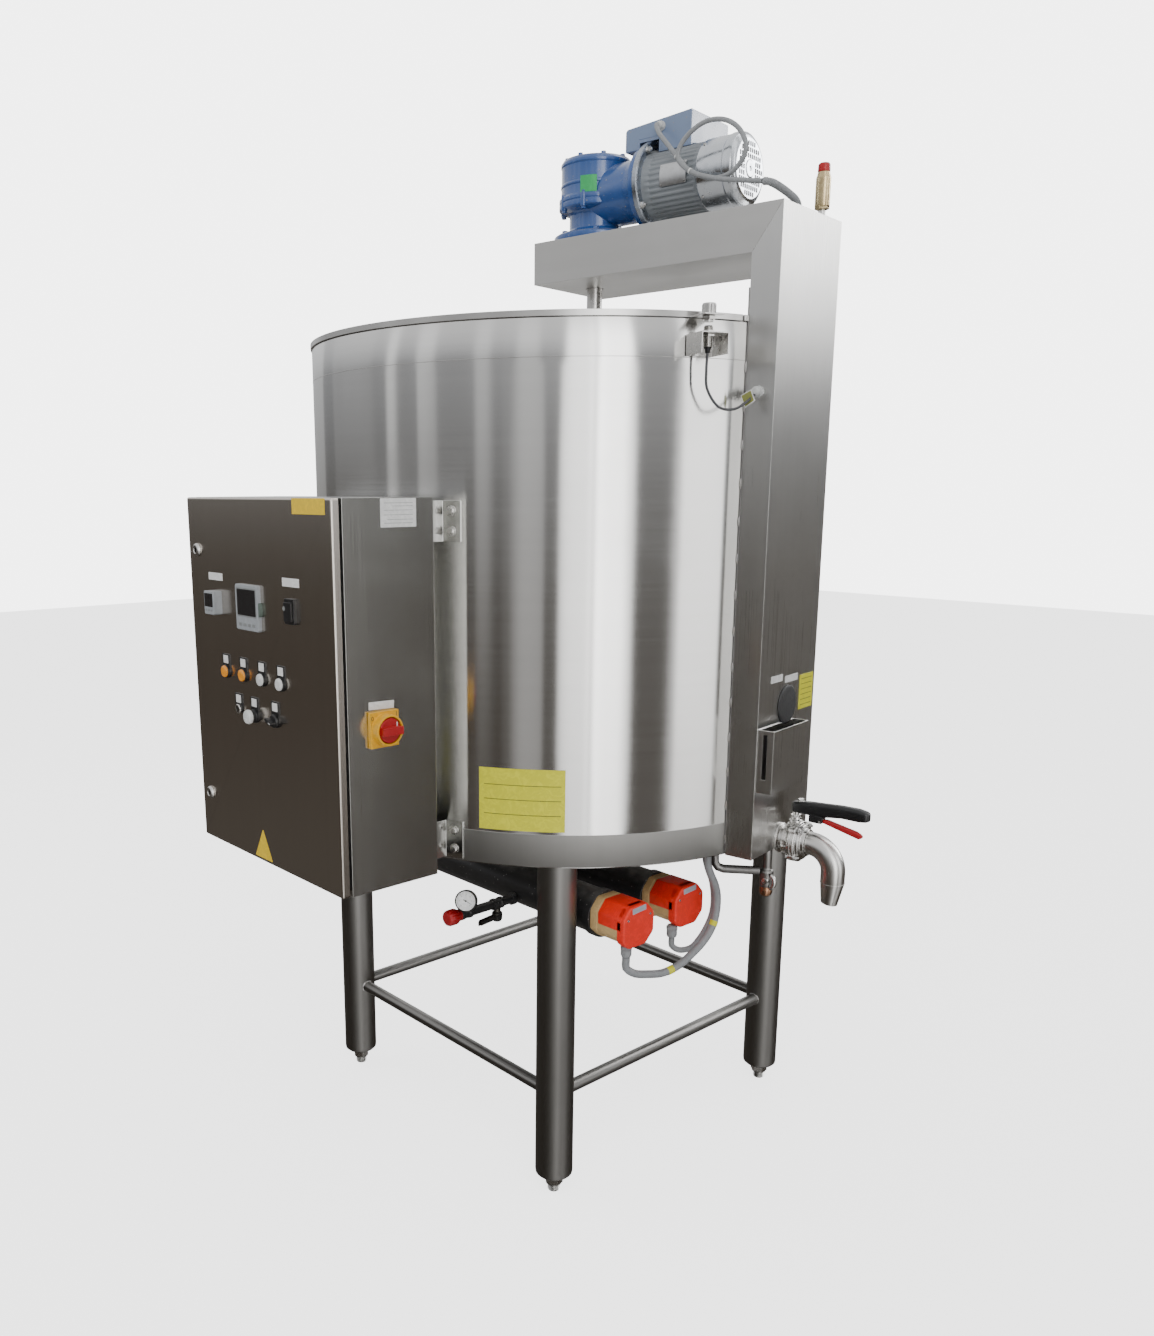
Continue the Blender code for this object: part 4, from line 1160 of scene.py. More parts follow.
# Bearing and half width in degrees, power, and the heights, as sines, between which the foot rises from its
# least to full.
PANELS = ((-38.0, 5.5, 2.6, -0.6, 0.0, 0.35), (-23.5, 6.8, 4.8, -0.6, 0.0, 0.35),
          (-31.0, 3.0, 1.5, -0.6, 0.0, 0.35), (16.3, 11.2, 2.6, -0.5, 0.0, 0.35),
          (-60.0, 4.5, 0.4, -0.6, 0.0, 0.6), (-79.5, 3.5, 0.36, -0.2, 0.05, 0.1),
          (-106.0, 4.5, 0.5, -0.04, 0.06, 0.0), (-124.0, 2.5, 0.75, -0.04, 0.06, 0.0),
          (-152.0, 16.0, 0.1, -0.04, 0.06, 0.0), (-25.0, 45.0, 0.05, -0.8, 0.0, 0.8),
          (73.0, 11.0, 11.0, 0.06, 0.27, 0.0), (-150.0, 28.0, 0.035, -0.12, -0.33, 0.0),
          (150.0, 40.0, 0.35, -0.2, 0.2, 0.2))
PANEL_FADE = 1.5
DEGREES = 57.2958


# ---- cables ----


@dataclass
class Cable:
    """One cable: its route, its size and what it is like."""

    node: str
    place: Array
    route: Sequence[Sequence[float]]
    radius: float
    finish: Finish
    stiffness: str
    lay: str
    ripple: float = 0.0

    def build(self, with_pieces: Sequence[bpy.types.Object] = ()) -> bpy.types.Object:
        """A round section carried along the smooth route; a ripple makes it a ribbed conduit.

        Args:
            with_pieces: not used.

        Returns:
            The sheath.
        """
        step = 0.0007 if self.ripple else max(self.radius, 0.003)
        fine = moved(smooth_route(self.route, step), self.place)
        groove = self.ripple * (0.5 + 0.5 * np.cos(np.arange(len(fine)) * np.pi / 2))
        form = swept(fine, self.radius - groove, 20)
        made = piece(self.node + "_sheath", form, self.finish, self.node, smooth=60)
        2 * self.radius
        return made

    def point(self, share: float) -> tuple[Array, Array]:
        """Place and direction at a share of the cable's length, in the part's own frame.

        Args:
            share: from 0 to 1.

        Returns:
            The place and the direction.
        """
        path = moved(smooth_route(self.route, 0.002), self.place)
        k = int(round(share * (len(path) - 1)))
        ahead = path[min(k + 1, len(path) - 1)] - path[max(k - 1, 0)]
        return path[k], ahead / np.linalg.norm(ahead)

    def band(self, share: float, wide: float, thick: float) -> Form:
        """A sleeve round the cable at a share of its length.

        Args:
            share: from 0 to 1.
            wide: its length along the cable.
            thick: how far it stands out.

        Returns:
            The sleeve.
        """
        at, ahead = self.point(share)
        outer, inner = self.radius + thick, self.radius - 0.0006
        profile = eased([(inner, -wide / 2), (outer, -wide / 2), (outer, wide / 2), (inner, wide / 2)],
                        0.0003, 2)
        up = (0, 0, 1) if abs(ahead[2]) < 0.9 else (1, 0, 0)
        return turned(profile, 24, loop=True).at(facing(ahead, at, up))


class Cables:
    """The five cables that show, with their bands and ties."""

    def __init__(self) -> None:
        """Takes the routes, each through points in its own frame."""
        x, y = SENSOR_OUT * np.cos(SENSOR_TURN), SENSOR_OUT * np.sin(SENSOR_TURN)
        self.motor = Cable("motor_cable", ARM, (
            (0.316, -0.0857, 2.404), (0.316, -0.103, 2.404), (0.335, -0.125, 2.38), (0.366, -0.136, 2.347),
            (0.394, -0.14, 2.316), (0.424, -0.14, 2.285), (0.48, -0.14, 2.262), (0.515, -0.141, 2.263),
            (0.542, -0.142, 2.279), (0.555, -0.143, 2.305), (0.545, -0.144, 2.335), (0.524, -0.145, 2.357),
            (0.495, -0.146, 2.37), (0.461, -0.148, 2.371), (0.427, -0.15, 2.356), (0.405, -0.1515, 2.333),
            (0.401, -0.1515, 2.312), (0.431, -0.1515, 2.282), (0.487, -0.1515, 2.259), (0.548, -0.15, 2.245),
            (0.596, -0.146, 2.236)), 0.005, SHEATH, "stiff", "coiled")
        self.conduit = Cable("drive_conduit", ARM, (
            (0.5988, -0.1457, 2.2354), (0.6065, -0.145, 2.234), (0.6135, -0.139, 2.2318),
            (0.618, -0.127, 2.2288), (0.622, -0.113, 2.2248), (0.627, -0.1, 2.2195),
            (0.6325, -0.0895, 2.2132), (0.6375, -0.08, 2.2065), (0.6405, -0.074, 2.198),
            (0.641, -0.073, 2.186)), 0.008, SHEATH, "stiff", "loose", 0.0012)
        self.sensor = Cable("sensor_cable", ARM, (
            (x, y, 1.8915), (x - 0.001, y, 1.86), (x, y + 0.004, 1.825), (x + 0.016, y + 0.026, 1.79),
            (0.618, -0.265, 1.786), (0.631, -0.232, 1.803), (0.636, -0.21, 1.818), (0.636, -0.1912, 1.822)),
            0.0027, DARK_SHEATH, "medium", "hanging")
        self.front = Cable("heater_cable_front", ROOT, (
            (0.535, -0.315, 0.6104), (0.535, -0.315, 0.598), (0.5352, -0.3148, 0.584), (0.545, -0.298, 0.569),
            (0.556, -0.2638, 0.5606), (0.564, -0.2243, 0.5545), (0.57, -0.1944, 0.5583),
            (0.575, -0.1635, 0.5683), (0.579, -0.1316, 0.5853), (0.582, -0.1076, 0.6004),
            (0.584, -0.0858, 0.6199), (0.5855, -0.0701, 0.6454), (0.586, -0.0632, 0.6769),
            (0.586, -0.0641, 0.7102), (0.587, -0.076, 0.74), (0.587, -0.093, 0.768),
            (0.586, -0.104, 0.795), (0.586, -0.104, 0.8234)), 0.009, SHEATH, "stiff", "hanging")
        self.rear = Cable("heater_cable_rear", ROOT, (
            (0.527, -0.15, 0.6104), (0.527, -0.15, 0.6), (0.5272, -0.1498, 0.59), (0.539, -0.139, 0.579),
            (0.553, -0.1103, 0.581), (0.56, -0.0892, 0.6), (0.564, -0.0691, 0.6253), (0.566, -0.054, 0.6554),
            (0.567, -0.051, 0.6923), (0.567, -0.06, 0.7357), (0.568, -0.0745, 0.765), (0.566, -0.086, 0.795),
            (0.566, -0.086, 0.8234)), 0.007, SHEATH, "stiff", "hanging")

    def build(self) -> None:
        """Makes the cables, then what is on them."""
        ties = piece("cable_ties", self.motor.band(0.18, 0.0035, 0.0009)
                     + self.motor.band(0.78, 0.0035, 0.0009), MILK)
        self.motor.build([ties])
        self.conduit.build()
        self.sensor.build()
        bands = piece("cable_bands", self.front.band(0.3, 0.016, 0.0004)
                      + self.front.band(0.62, 0.012, 0.0004), VINYL)
        self.front.build([bands])
        self.rear.build()


# ---- legs ----


@dataclass
class Legs:
    """Four tubes with their levelling feet and the thin bars between them."""

    reach: float = 0.4033
    tube: float = 0.04445
    bar: float = 0.015
    bar_height: float = 0.249

    def build(self) -> None:
        """Dresses the tubes and bars and adds nuts, threads and weld beads."""
        for word in ("front", "right", "back", "left"):
            softened("leg_" + word, TUBE)
            softened("brace_" + word, TUBE)
        self.nuts()
        self.welds()

    def spots(self) -> list[Array]:
        """The four legs' places."""
        return [ROOT @ shift(sx * self.reach, sy * self.reach, 0)
                for sx, sy in ((1, -1), (1, 1), (-1, 1), (-1, -1))]

    def nuts(self) -> None:
        """A nut under each tube, above the foot's thread, whose radius rises and falls along its length."""
        nut = hexagon(0.0385, 0.0215, 0.0385, 0.0015, 3)
        rise = np.linspace(0.0035, 0.0205, 69)
        thread = turned(np.column_stack([0.0139 + 0.0006 * np.cos(rise / 0.002 * 2 * np.pi), rise]), 32)
        piece("foot_nuts", joined([nut.at(spot) for spot in self.spots()]), ZINC)
        piece("foot_threads", joined([thread.at(spot) for spot in self.spots()]), ZINC)

    def welds(self) -> None:
        """A bead where each bar meets a tube.

        Across = r cos a, up = r sin a, and along the bar it lies where the tube's round begins, at
        reach - sqrt(R^2 - across^2).
        """
        angle = bearings(40)
        across, up = self.bar * np.cos(angle), self.bar * np.sin(angle)
        along = self.reach - np.sqrt(self.tube ** 2 - across ** 2)
        path = np.stack([self.reach + across * 1.04, along, self.bar_height + up * 1.04], 1)
        bead = swept(path, 0.0016 + 0.00025 * np.sin(angle * 9), 8, loop=True)
        other = Form(bead.verts * (1, -1, 1), bead.quads)
        beads = [part.at(ROOT @ spin(turn * np.pi / 2)) for turn in range(4) for part in (bead, other)]
        piece("brace_welds", joined(beads), WELD)


# ---- tank ----


@dataclass
class Tank:
    """Jacket, floor, lids with their hinge, and the plain sticker on the wall."""

    bore: float = 0.572
    low: float = 0.824
    high: float = 1.962
    band: float = 0.075
    wave: float = 0.00045

    def build(self) -> None:
        """Makes the wall and dresses the rest."""
        self.wall()
        softened("vessel_floor", BRIGHT)
        softened("lid_rear", LID, 0.0018)
        softened("lid_front", LID, 0.0018)
        self.seams()
        self.hinge()
        self.sticker()
        softened("agitator", BRIGHT, 0.0012)

    def ripple(self, angle: Array) -> Array:
        """Slow unevenness of the rolled sheet round the wall: a sum of waves of fixed lengths.

        Args:
            angle: bearings round the tank.

        Returns:
            A value from -1 to 1 for each bearing.
        """
        counts = np.array([23, 31, 41, 53, 67, 83])
        sizes = np.array([1.0, 0.9, 0.8, 0.55, 0.4, 0.25])
        offsets = np.array([0.4, 2.1, 3.9, 1.2, 5.3, 0.9])
        return (np.sin(angle[:, None] * counts + offsets) * sizes).sum(1) / sizes.sum()

    def wall(self) -> None:
        """A ring wall: its outer face is R + wave * ripple(angle), faded out over the plain bands."""
        angle = bearings(720)
        low, high, band = self.low, self.high, self.band
        rows = [(self.bore, low, 0.0), (TANK_R - 0.002, low, 0.0), (TANK_R - 0.0006, low + 0.0006, 0.0),
                (TANK_R, low + 0.002, 0.0), (TANK_R, low + band, 0.0)]
        rows += [(TANK_R, z, 1.0) for z in np.linspace(low + band + 0.02, high - band - 0.02, 7)]
        rows += [(TANK_R, high - band, 0.0), (TANK_R, high - 0.002, 0.0),
                 (TANK_R - 0.0006, high - 0.0006, 0.0), (TANK_R - 0.002, high, 0.0), (self.bore, high, 0.0)]
        radius, height, share = np.array(rows).T
        reach = radius[:, None] + share[:, None] * self.wave * self.ripple(angle)[None]
        points = polar(reach, angle, height[:, None])
        piece("tank_wall", woven(points, True, True).at(ROOT), SHELL, "tank_jacket")

    def seams(self) -> None:
        """Thin weld seams where the plain bands meet the wall, and a low raised band round the foot."""
        heights = (self.low + self.band, self.high - self.band)
        seams = joined([ring(TANK_R - 0.0001, 0.0006, 256, 6, z) for z in heights])
        piece("tank_seams", seams.at(ROOT), SHELL_BAND)
        # The raised foot band gets a much darker tone than the wall: painted shade.
        low, high = self.low + 0.0022, self.low + self.band - 0.0006
        foot = lathed((TANK_R - 0.0006, low), (TANK_R + 0.0005, low), (TANK_R + 0.0005, high),
                      (TANK_R - 0.0006, high), edge=0.0002, count=192)
        piece("tank_foot_band", foot.at(ROOT), SHADED_FOOT_BAND)

    def hinge(self) -> None:
        """Three knuckled hinges on the line between the lid halves: leaves, barrels and screws."""
        y, z = -0.203, 1.98
        fixed, swinging = [], []
        for x in (-0.42, 0.0, 0.42):
            barrel = lathed((0, -0.018), (0.0046, -0.018), (0.0046, 0.018), (0, 0.018), edge=0.0006, count=20,
                            steps=2)
            for shift_x, side in ((-0.0375, fixed), (0.0, swinging), (0.0375, fixed)):
                side.append(barrel.at(ARM @ facing((1, 0, 0), (x + shift_x, y, z))))
            for side, sign in ((fixed, 1), (swinging, -1)):
                wide = rectangle(0.108 if sign > 0 else 0.034, 0.034, 0.003, (0, sign * 0.0195))
                side.append(slab(wide, 1.9754, 1.9776, 0.0006).at(ARM @ shift(x, y, 0)))
                for sx in ((-0.04, 0.04) if sign > 0 else (-0.01, 0.01)):
                    side.append(cap_screw(0.0038, 0.0022).at(ARM @ shift(x + sx, y + sign * 0.025, 1.9776)))
        piece("lid_hinge_leaves", joined(fixed), BRIGHT)
        piece("lid_hinge_flaps", joined(swinging), BRIGHT, body="lid")

    def sticker(self) -> None:
        """A plain yellow sticker bent to the wall, with three ruled lines."""
        start, end, low, high = np.radians(-60.75), np.radians(-43.55), 0.9055, 1.044
        piece("wall_sticker", bent_plate(start, end, low, high, 0.0006, 0.0011).at(ROOT), VINYL)
        rules = []
        for share in (0.26, 0.5, 0.735):
            z = low + share * (high - low)
            rules.append(bent_plate(start + 0.018, end - 0.014, z - 0.0006, z + 0.0006, 0.0009, 0.00135))
        piece("sticker_rules", joined(rules).at(ROOT), INK_AND_SHADE)


def bent_plate(start: float, end: float, low: float, high: float, inner: float, outer: float,
               radius: float = TANK_R, steps: int = 48) -> Form:
    """A plate bent to a round wall: two skins at radius + inner and radius + outer, closed at its edges.

    Args:
        start: first bearing.
        end: last bearing.
        low: lower height.
        high: upper height.
        inner: how far its back stands off the wall.
        outer: how far its face stands off the wall.
        radius: the wall's radius.
        steps: number of bearings.

    Returns:
        The plate.
    """
    angle = np.linspace(start, end, steps)
    loop = np.array([(radius + inner, low), (radius + outer, low), (radius + outer, high),
                     (radius + inner, high)])
    reach, height = loop.T
    return lofted(polar(reach, angle[:, None], height))


# ---- lid sensor ----


@dataclass
class LidSensor:
    """Bracket, threaded barrel, and the stud on the lid that it looks at."""

    out: float = SENSOR_OUT
    turn: float = SENSOR_TURN

    def build(self) -> None:
        """Makes the threaded barrel with its nuts, and the stud's nuts."""
        softened("sensor_bracket", BRIGHT, 0.0009)
        place = ARM @ spin(self.turn) @ shift(self.out, 0, 0)
        rise = np.linspace(1.9035, 1.9415, 153)
        groove = 0.0088 + 0.00025 * np.cos(rise / 0.001 * 2 * np.pi)
        thread = np.column_stack([groove, rise])
        barrel = turned(np.concatenate([[(0, 1.9035)], thread, [(0.0078, 1.9425), (0, 1.9425)]]), 32)
        piece("sensor_barrel", barrel.at(place), BRIGHT, "lid_sensor")
        face = lathed((0, 1.942), (0.0077, 1.942), (0.0077, 1.944), (0, 1.944), edge=0.0004, count=32,
                      steps=2)
        piece("sensor_face", face.at(place), MID_GREY)
        tail = lathed((0, 1.892), (0.0045, 1.892), (0.006, 1.9), (0.0085, 1.9036), (0, 1.9036), count=32,
                      steps=2)
        piece("sensor_tail", tail.at(place), BLACK)
        nut = hexagon(0.0232, 0.0, 0.0042, 0.0006)
        piece("sensor_nuts", nut.at(place @ shift(0, 0, 1.9232)) + nut.at(place @ shift(0, 0, 1.9305)),
              BRIGHT)
        washer = lathed((0, 1.965), (0.0148, 1.965), (0.0148, 1.9663), (0, 1.9663), edge=0.0003, count=32,
                        steps=2)
        stud = slab(polygon(6, 0.025, 0.3), 1.9662, 1.9835, 0.001, 3)
        stud = stud + hexagon(0.0235, 1.9545, 1.962, 0.0006, turn=0.1) + washer
        piece("lid_stud_nuts", stud.at(place), BRIGHT, body="lid")


# ---- arm ----


@dataclass
class Arm:
    """Column and beam with the stitch welds, labels, disc and pocket."""

    face: float = 0.6683
    front: float = -0.19
    back: float = 0.082

    def build(self) -> None:
        """Dresses the folded sheet and adds what is on it."""
        softened("arm_column", COLUMN, 0.0024)
        softened("arm_beam", BEAM, 0.0024)
        softened("column_pocket", COLUMN, 0.0005)
        self.stitches()
        self.labels()
        place = ARM @ facing((1, 0, 0), (self.face, -0.0575, 1.158))
        dome = lathed((0, 0), (0.044, 0), (0.044, 0.003), (0.04, 0.0046), (0, 0.006), edge=0.0015, count=64,
                      steps=4)
        piece("column_disc_cap", dome.at(place), RUBBER, "column_disc")
        self.valve()
        self.cable_entry()

    def cable_entry(self) -> None:
        """White gland where the sensor's cable goes in, and the small olive tag that hangs on the cable."""
        gland = lathed((0, -0.001), (0.01, -0.001), (0.01, 0.006), (0.0082, 0.007), (0.0082, 0.014),
                       (0.0096, 0.015), (0.0096, 0.02), (0.006, 0.0255), (0, 0.0255), edge=0.0006, count=32)
        nut = hexagon(0.0205, 0.0015, 0.007, 0.0006)
        piece("column_gland", (gland + nut).at(ARM @ facing((0, -1, 0), (0.636, self.front, 1.8235))), LIGHT)
        corners = np.array([(0.6224, 1.7906), (0.6439, 1.8036), (0.6342, 1.8257), (0.6112, 1.8151)])
        place = ARM @ facing((0, -1, 0), (0, -0.225, 0))
        piece("tag_edge", slab(corners, -0.0006, 0.0006, 0.0002, 2, both=True).at(place), PAPER)
        piece("tag_face", slab(inset(corners, 0.0022), 0.0004, 0.001, 0.0001).at(place), TAG)

    def stitches(self) -> None:
        """Short weld beads up both seams between column and tank: an ellipse of half length 11 mm each."""
        share = np.linspace(-1, 1, 15)
        height = np.arange(0.86, 1.93, 0.078)
        beads, fills = [], []
        for y, sign in ((self.front, -1), (self.back, 1)):
            x = np.sqrt(TANK_R ** 2 - y ** 2)
            rise = np.linspace(0.833, 2.028, 25)
            fills.append(swept(np.stack([np.full(25, x + 0.0012), np.full(25, y - sign * 0.0012), rise], 1),
                               0.0021, 12).at(ARM))
            for z in height:
                path = np.stack([np.full(15, x + 0.0016), np.full(15, y - sign * 0.0008 + sign * 0.0014),
                                 z + 0.011 * share], 1)
                beads.append(swept(path, 0.0019 * np.sqrt(1.02 - share ** 2), 8).at(ARM))
        piece("stitch_welds", joined(beads), WELD)
        # A dark tube along each seam: painted shade in the crease between column and tank.
        piece("seam_fill", joined(fills), SHADED_STEEL)

    def labels(self) -> None:
        """Bare labels on the column's outer face."""
        place = ARM @ facing((1, 0, 0), (self.face, 0, 0))
        white = [label(0.055, 0.0155, -0.11, 1.2215, 0.0006), label(0.062, 0.0155, -0.0385, 1.215, 0.0006)]
        piece("column_labels", joined(white).at(place), PAPER)
        piece("column_plate", label(0.068, 0.08, 0.0388, 1.176, 0.0006).at(place), VINYL)
        rules = [slab(rectangle(0.054, 0.0012, 0.0, (0.0388, z)), 0.0004, 0.0008)
                 for z in 1.176 + np.linspace(-0.03, 0.03, 6)]
        piece("plate_rules", joined(rules).at(place), INK_AND_SHADE)

    def valve(self) -> None:
        """Small relief valve on the column's top: a pipe, a hexagon, a brass body and a red cap."""
        place = ARM @ shift(0.635, 0.052, 2.1853)
        pipe = lathed((0, 0), (0.0125, 0), (0.0125, 0.003), (0.008, 0.0045), (0.008, 0.027), (0, 0.027),
                      count=28, steps=2)
        piece("relief_pipe", pipe.at(place), BRIGHT, "column_valve")
        body = lathed((0, 0.026), (0.0125, 0.026), (0.0155, 0.03), (0.0155, 0.086), (0.0135, 0.092),
                      (0.0125, 0.098), (0, 0.098), edge=0.0012, count=32)
        piece("relief_body", (body + hexagon(0.0265, 0.024, 0.04, 0.001)).at(place), BRASS)
        cap = lathed((0, 0.0975), (0.0125, 0.0975), (0.013, 0.1), (0.0125, 0.112), (0.01, 0.1155), (0, 0.116),
                     edge=0.0012, count=32)
        piece("relief_top", cap.at(place), RED)


# ---- drive ----


@dataclass
class Drive:
    """Gearbox, motor with its shield and fan cover, and the box on top."""

    axis: tuple[float, float] = (0.1234, -0.0537)
    height: float = 2.29
    top: float = 2.1853
    shield: tuple[float, float] = (0.282, 0.295)
    fan: tuple[float, float] = (0.427, 0.519)
    along: Array = field(init=False)

    def build(self) -> None:
        """Makes the gearbox, the motor and the box."""
        self.along = ARM @ facing((1, 0, 0), (0, self.axis[1], self.height))
        self.gearbox()
        self.motor()
        self.fan_cover()
        self.box()

    def gearbox(self) -> None:
        """Foot flange on a bright ring, waist, flange pair, grooved drum, and the neck under the motor."""
        place = ARM @ shift(*self.axis, 0)
        bright = lathed((0.055, self.top), (0.098, self.top), (0.098, 2.1945), (0.055, 2.1945), edge=0.0006,
                        count=96)
        piece("gear_ring", bright.at(place), ZINC)
        body = lathed((0, 2.194), (0.0962, 2.194), (0.0962, 2.2065), (0.09, 2.2105), (0.0655, 2.215),
                      (0.0608, 2.222), (0.0608, 2.253), (0.064, 2.259), (0.08, 2.2625), (0.0855, 2.266),
                      (0.0855, 2.2765), (0.0843, 2.2775), (0.0843, 2.279), (0.0855, 2.28), (0.0855, 2.288),
                      (0.0815, 2.292), (0.0805, 2.312), (0.0822, 2.313), (0.0822, 2.318), (0.0805, 2.319),
                      (0.0805, 2.356), (0.0822, 2.3575), (0.0822, 2.364), (0.077, 2.3715), (0.07, 2.373),
                      (0, 2.3735), edge=0.0014, count=96)
        neck = lathed((0, 0), (0.066, 0), (0.066, 0.118), (0.07, 0.134), (0.088, 0.144), (0.088, 0.1583),
                      (0, 0.1583), edge=0.002, count=72)
        body = body.at(place) + neck.at(ARM @ facing((1, 0, 0), (*self.axis, self.height)))
        boss = lathed((0, 2.262), (0.0075, 2.262), (0.0075, 2.29), (0, 2.29), edge=0.001, count=20)
        piece("gear_case", body + around(boss, 8, 0.08, 0.25).at(place), BLUE, "gearbox", smooth=32)
        heads = around(bolt(0.01, 0.0045, 0.007, 0.3), 8, 0.08, 0.25)
        screws = around(bolt(0.01, 0.0045, 0.007), 8, 0.069, 0.05).at(shift(0, 0, 2.3715))
        foot = around(bolt(0.011, 0.0052, 0.0085), 6, 0.082, 0.1).at(shift(0, 0, 2.209))
        low = around(bolt(0.01, 0.005, 0.007).at(spin(np.pi, "X")), 8, 0.08, 0.25).at(shift(0, 0, 2.262))
        piece("gear_bolts", (heads.at(shift(0, 0, 2.2895)) + screws + foot + low).at(place), BLUE)
        form = bent_plate(np.radians(-80.5), np.radians(-54.0), 2.2905, 2.3255, -0.0004, 0.0012, 0.0822, 16)
        piece("gear_label", form.at(place), GREEN_VINYL)

    def motor(self) -> None:
        """Round shield with its bolts, and the body with fins whose grooves are a clipped wave round it."""
        a, b = self.shield
        disc = lathed((0, a), (0.0925, a), (0.094, a + 0.0015), (0.094, b - 0.002), (0.0905, b), (0.083, b),
                      (0.081, b - 0.0012), (0.072, b - 0.0012), (0, b - 0.0012), edge=0.0006, count=96)
        piece("motor_shield_disc", disc.at(self.along), SHIELD, "motor")
        rows = ((0.0745, 0.2935, 0), (0.072, 0.3, 0), (0.0705, 0.308, 0.001), (0.07, 0.31, 0.0024),
                (0.07, 0.418, 0.0024), (0.07, 0.42, 0.0012), (0.069, 0.4267, 0))
        body = fluted(rows, np.clip(2.1 - 3.2 * flutes(36, 288), 0, 1))
        piece("motor_body", body.at(self.along), MOTOR_GREY, smooth=30)
        nuts = around(bolt(0.011, 0.006, 0.0085), 4, 0.0835, 0.62).at(shift(0, 0, b - 0.0003))
        tip = lathed((0, 0.006), (0.003, 0.006), (0.003, 0.01), (0, 0.0105), edge=0.0004, count=16)
        tips = around(tip, 4, 0.0835, 0.62).at(shift(0, 0, b))
        piece("shield_nuts", (nuts + tips).at(self.along), ZINC)
        plate = bent_plate(np.radians(160), np.radians(196), 0.34, 0.4045, -0.0006, 0.0012, 0.0708, 12)
        piece("motor_plate", plate.at(self.along), PLATE)
        pin = lathed((0, 0), (0.0018, 0), (0.0015, 0.0008), (0, 0.001), edge=0.0002, count=12)
        pins = [self.upright(pin, 0.072, turn, x) for turn in (163, 193) for x in (0.343, 0.4015)]
        piece("plate_pins", joined(pins).at(self.along), ZINC)

    @staticmethod
    def upright(form: Form, radius: float, degrees: float, x: float) -> Form:
        """A form stood on a round surface, its Z pointing away from the axis."""
        turn = np.radians(degrees)
        return form.at(shift(radius * np.cos(turn), radius * np.sin(turn), x) @ spin(turn)
                       @ spin(np.pi / 2, "Y"))

    def fan_cover(self) -> None:
        """Bright pressed cover: stepped skirt, rolled rim, and an end with a hub and rows of slots drawn as
        black patches.
        """
        a, b = self.fan
        skirt = lathed((0, a), (0.0705, a), (0.0725, a + 0.003), (0.0725, b - 0.03), (0.0742, b - 0.027),
                       (0.0745, b - 0.016), (0.072, b - 0.009), (0.065, b - 0.0035), (0.059, b - 0.0014),
                       (0.018, b - 0.0014), (0.017, b - 0.0004), (0.016, b), (0.0045, b), (0.004, b - 0.0015),
                       (0, b - 0.0015), edge=0.0012, count=96)
        piece("fan_shell", skirt.at(self.along), PRESSED, "fan_cover")
        column, row = np.meshgrid(np.arange(-9, 10), np.arange(-7, 8), indexing="ij")
        spots = np.column_stack([column.ravel() * 0.0086, row.ravel() * 0.0122])
        reach = np.hypot(*spots.T)
        # Each slot is a flat black patch standing on the end face: painted shade where the real slot opens
        # onto the dark inside.
        slot = slab(rectangle(0.005, 0.0096, 0.002), -0.002, 0.0005)
        slots = [slot.at(shift(x, y, b - 0.0014)) for x, y in spots[(reach > 0.0225) & (reach < 0.053)]]
        piece("fan_slots", joined(slots).at(self.along), INK_AND_SHADE)
        screws = [self.upright(cap_screw(0.0032, 0.0018), 0.0725, turn, a + 0.01)
                  for turn in (45, 135, 225, 315)]
        piece("fan_screws", joined(screws).at(self.along), ZINC)

    def box(self) -> None:
        """Cast box with a lid on its upper side, lid screws, and the gland where the cable leaves."""
        softened("drive_box", GREY_BLUE, 0.0022)
        skin = slab(rectangle(0.0495, 0.0065, 0.0, (0.2852, 2.3832)), 0.0836, 0.085)
        piece("box_skin", skin.at(ARM @ facing((0, -1, 0), (0, 0, 0))), GREY_BLUE)
        rise = np.arctan2(2.426 - 2.414, 0.391 - 0.227)
        top = ARM @ shift(0.309, -0.005, 2.4165) @ spin(-rise, "Y")
        lid = slab(rectangle(0.152, 0.148, 0.01), 0.0, 0.0032, 0.0012)
        piece("box_lid", lid.at(top), GREY_BLUE)
        screws = [cap_screw(0.0038, 0.0016).at(shift(x, y, 0.003))
                  for x in (-0.066, 0.066) for y in (-0.064, 0.064)]
        piece("box_screws", joined(screws).at(top), ZINC)
        gland = lathed((0, -0.001), (0.0105, -0.001), (0.0105, 0.004), (0.0085, 0.005), (0.0085, 0.012),
                       (0.0062, 0.0155), (0.0052, 0.0158), (0, 0.0158), edge=0.0006, count=28)
        nut = hexagon(0.0175, 0.004, 0.0095, 0.0006)
        place = ARM @ facing((0, -1, 0), (0.316, -0.085, 2.404))
        piece("box_gland", (gland + nut).at(place), LIGHT)


# ---- cabinet ----


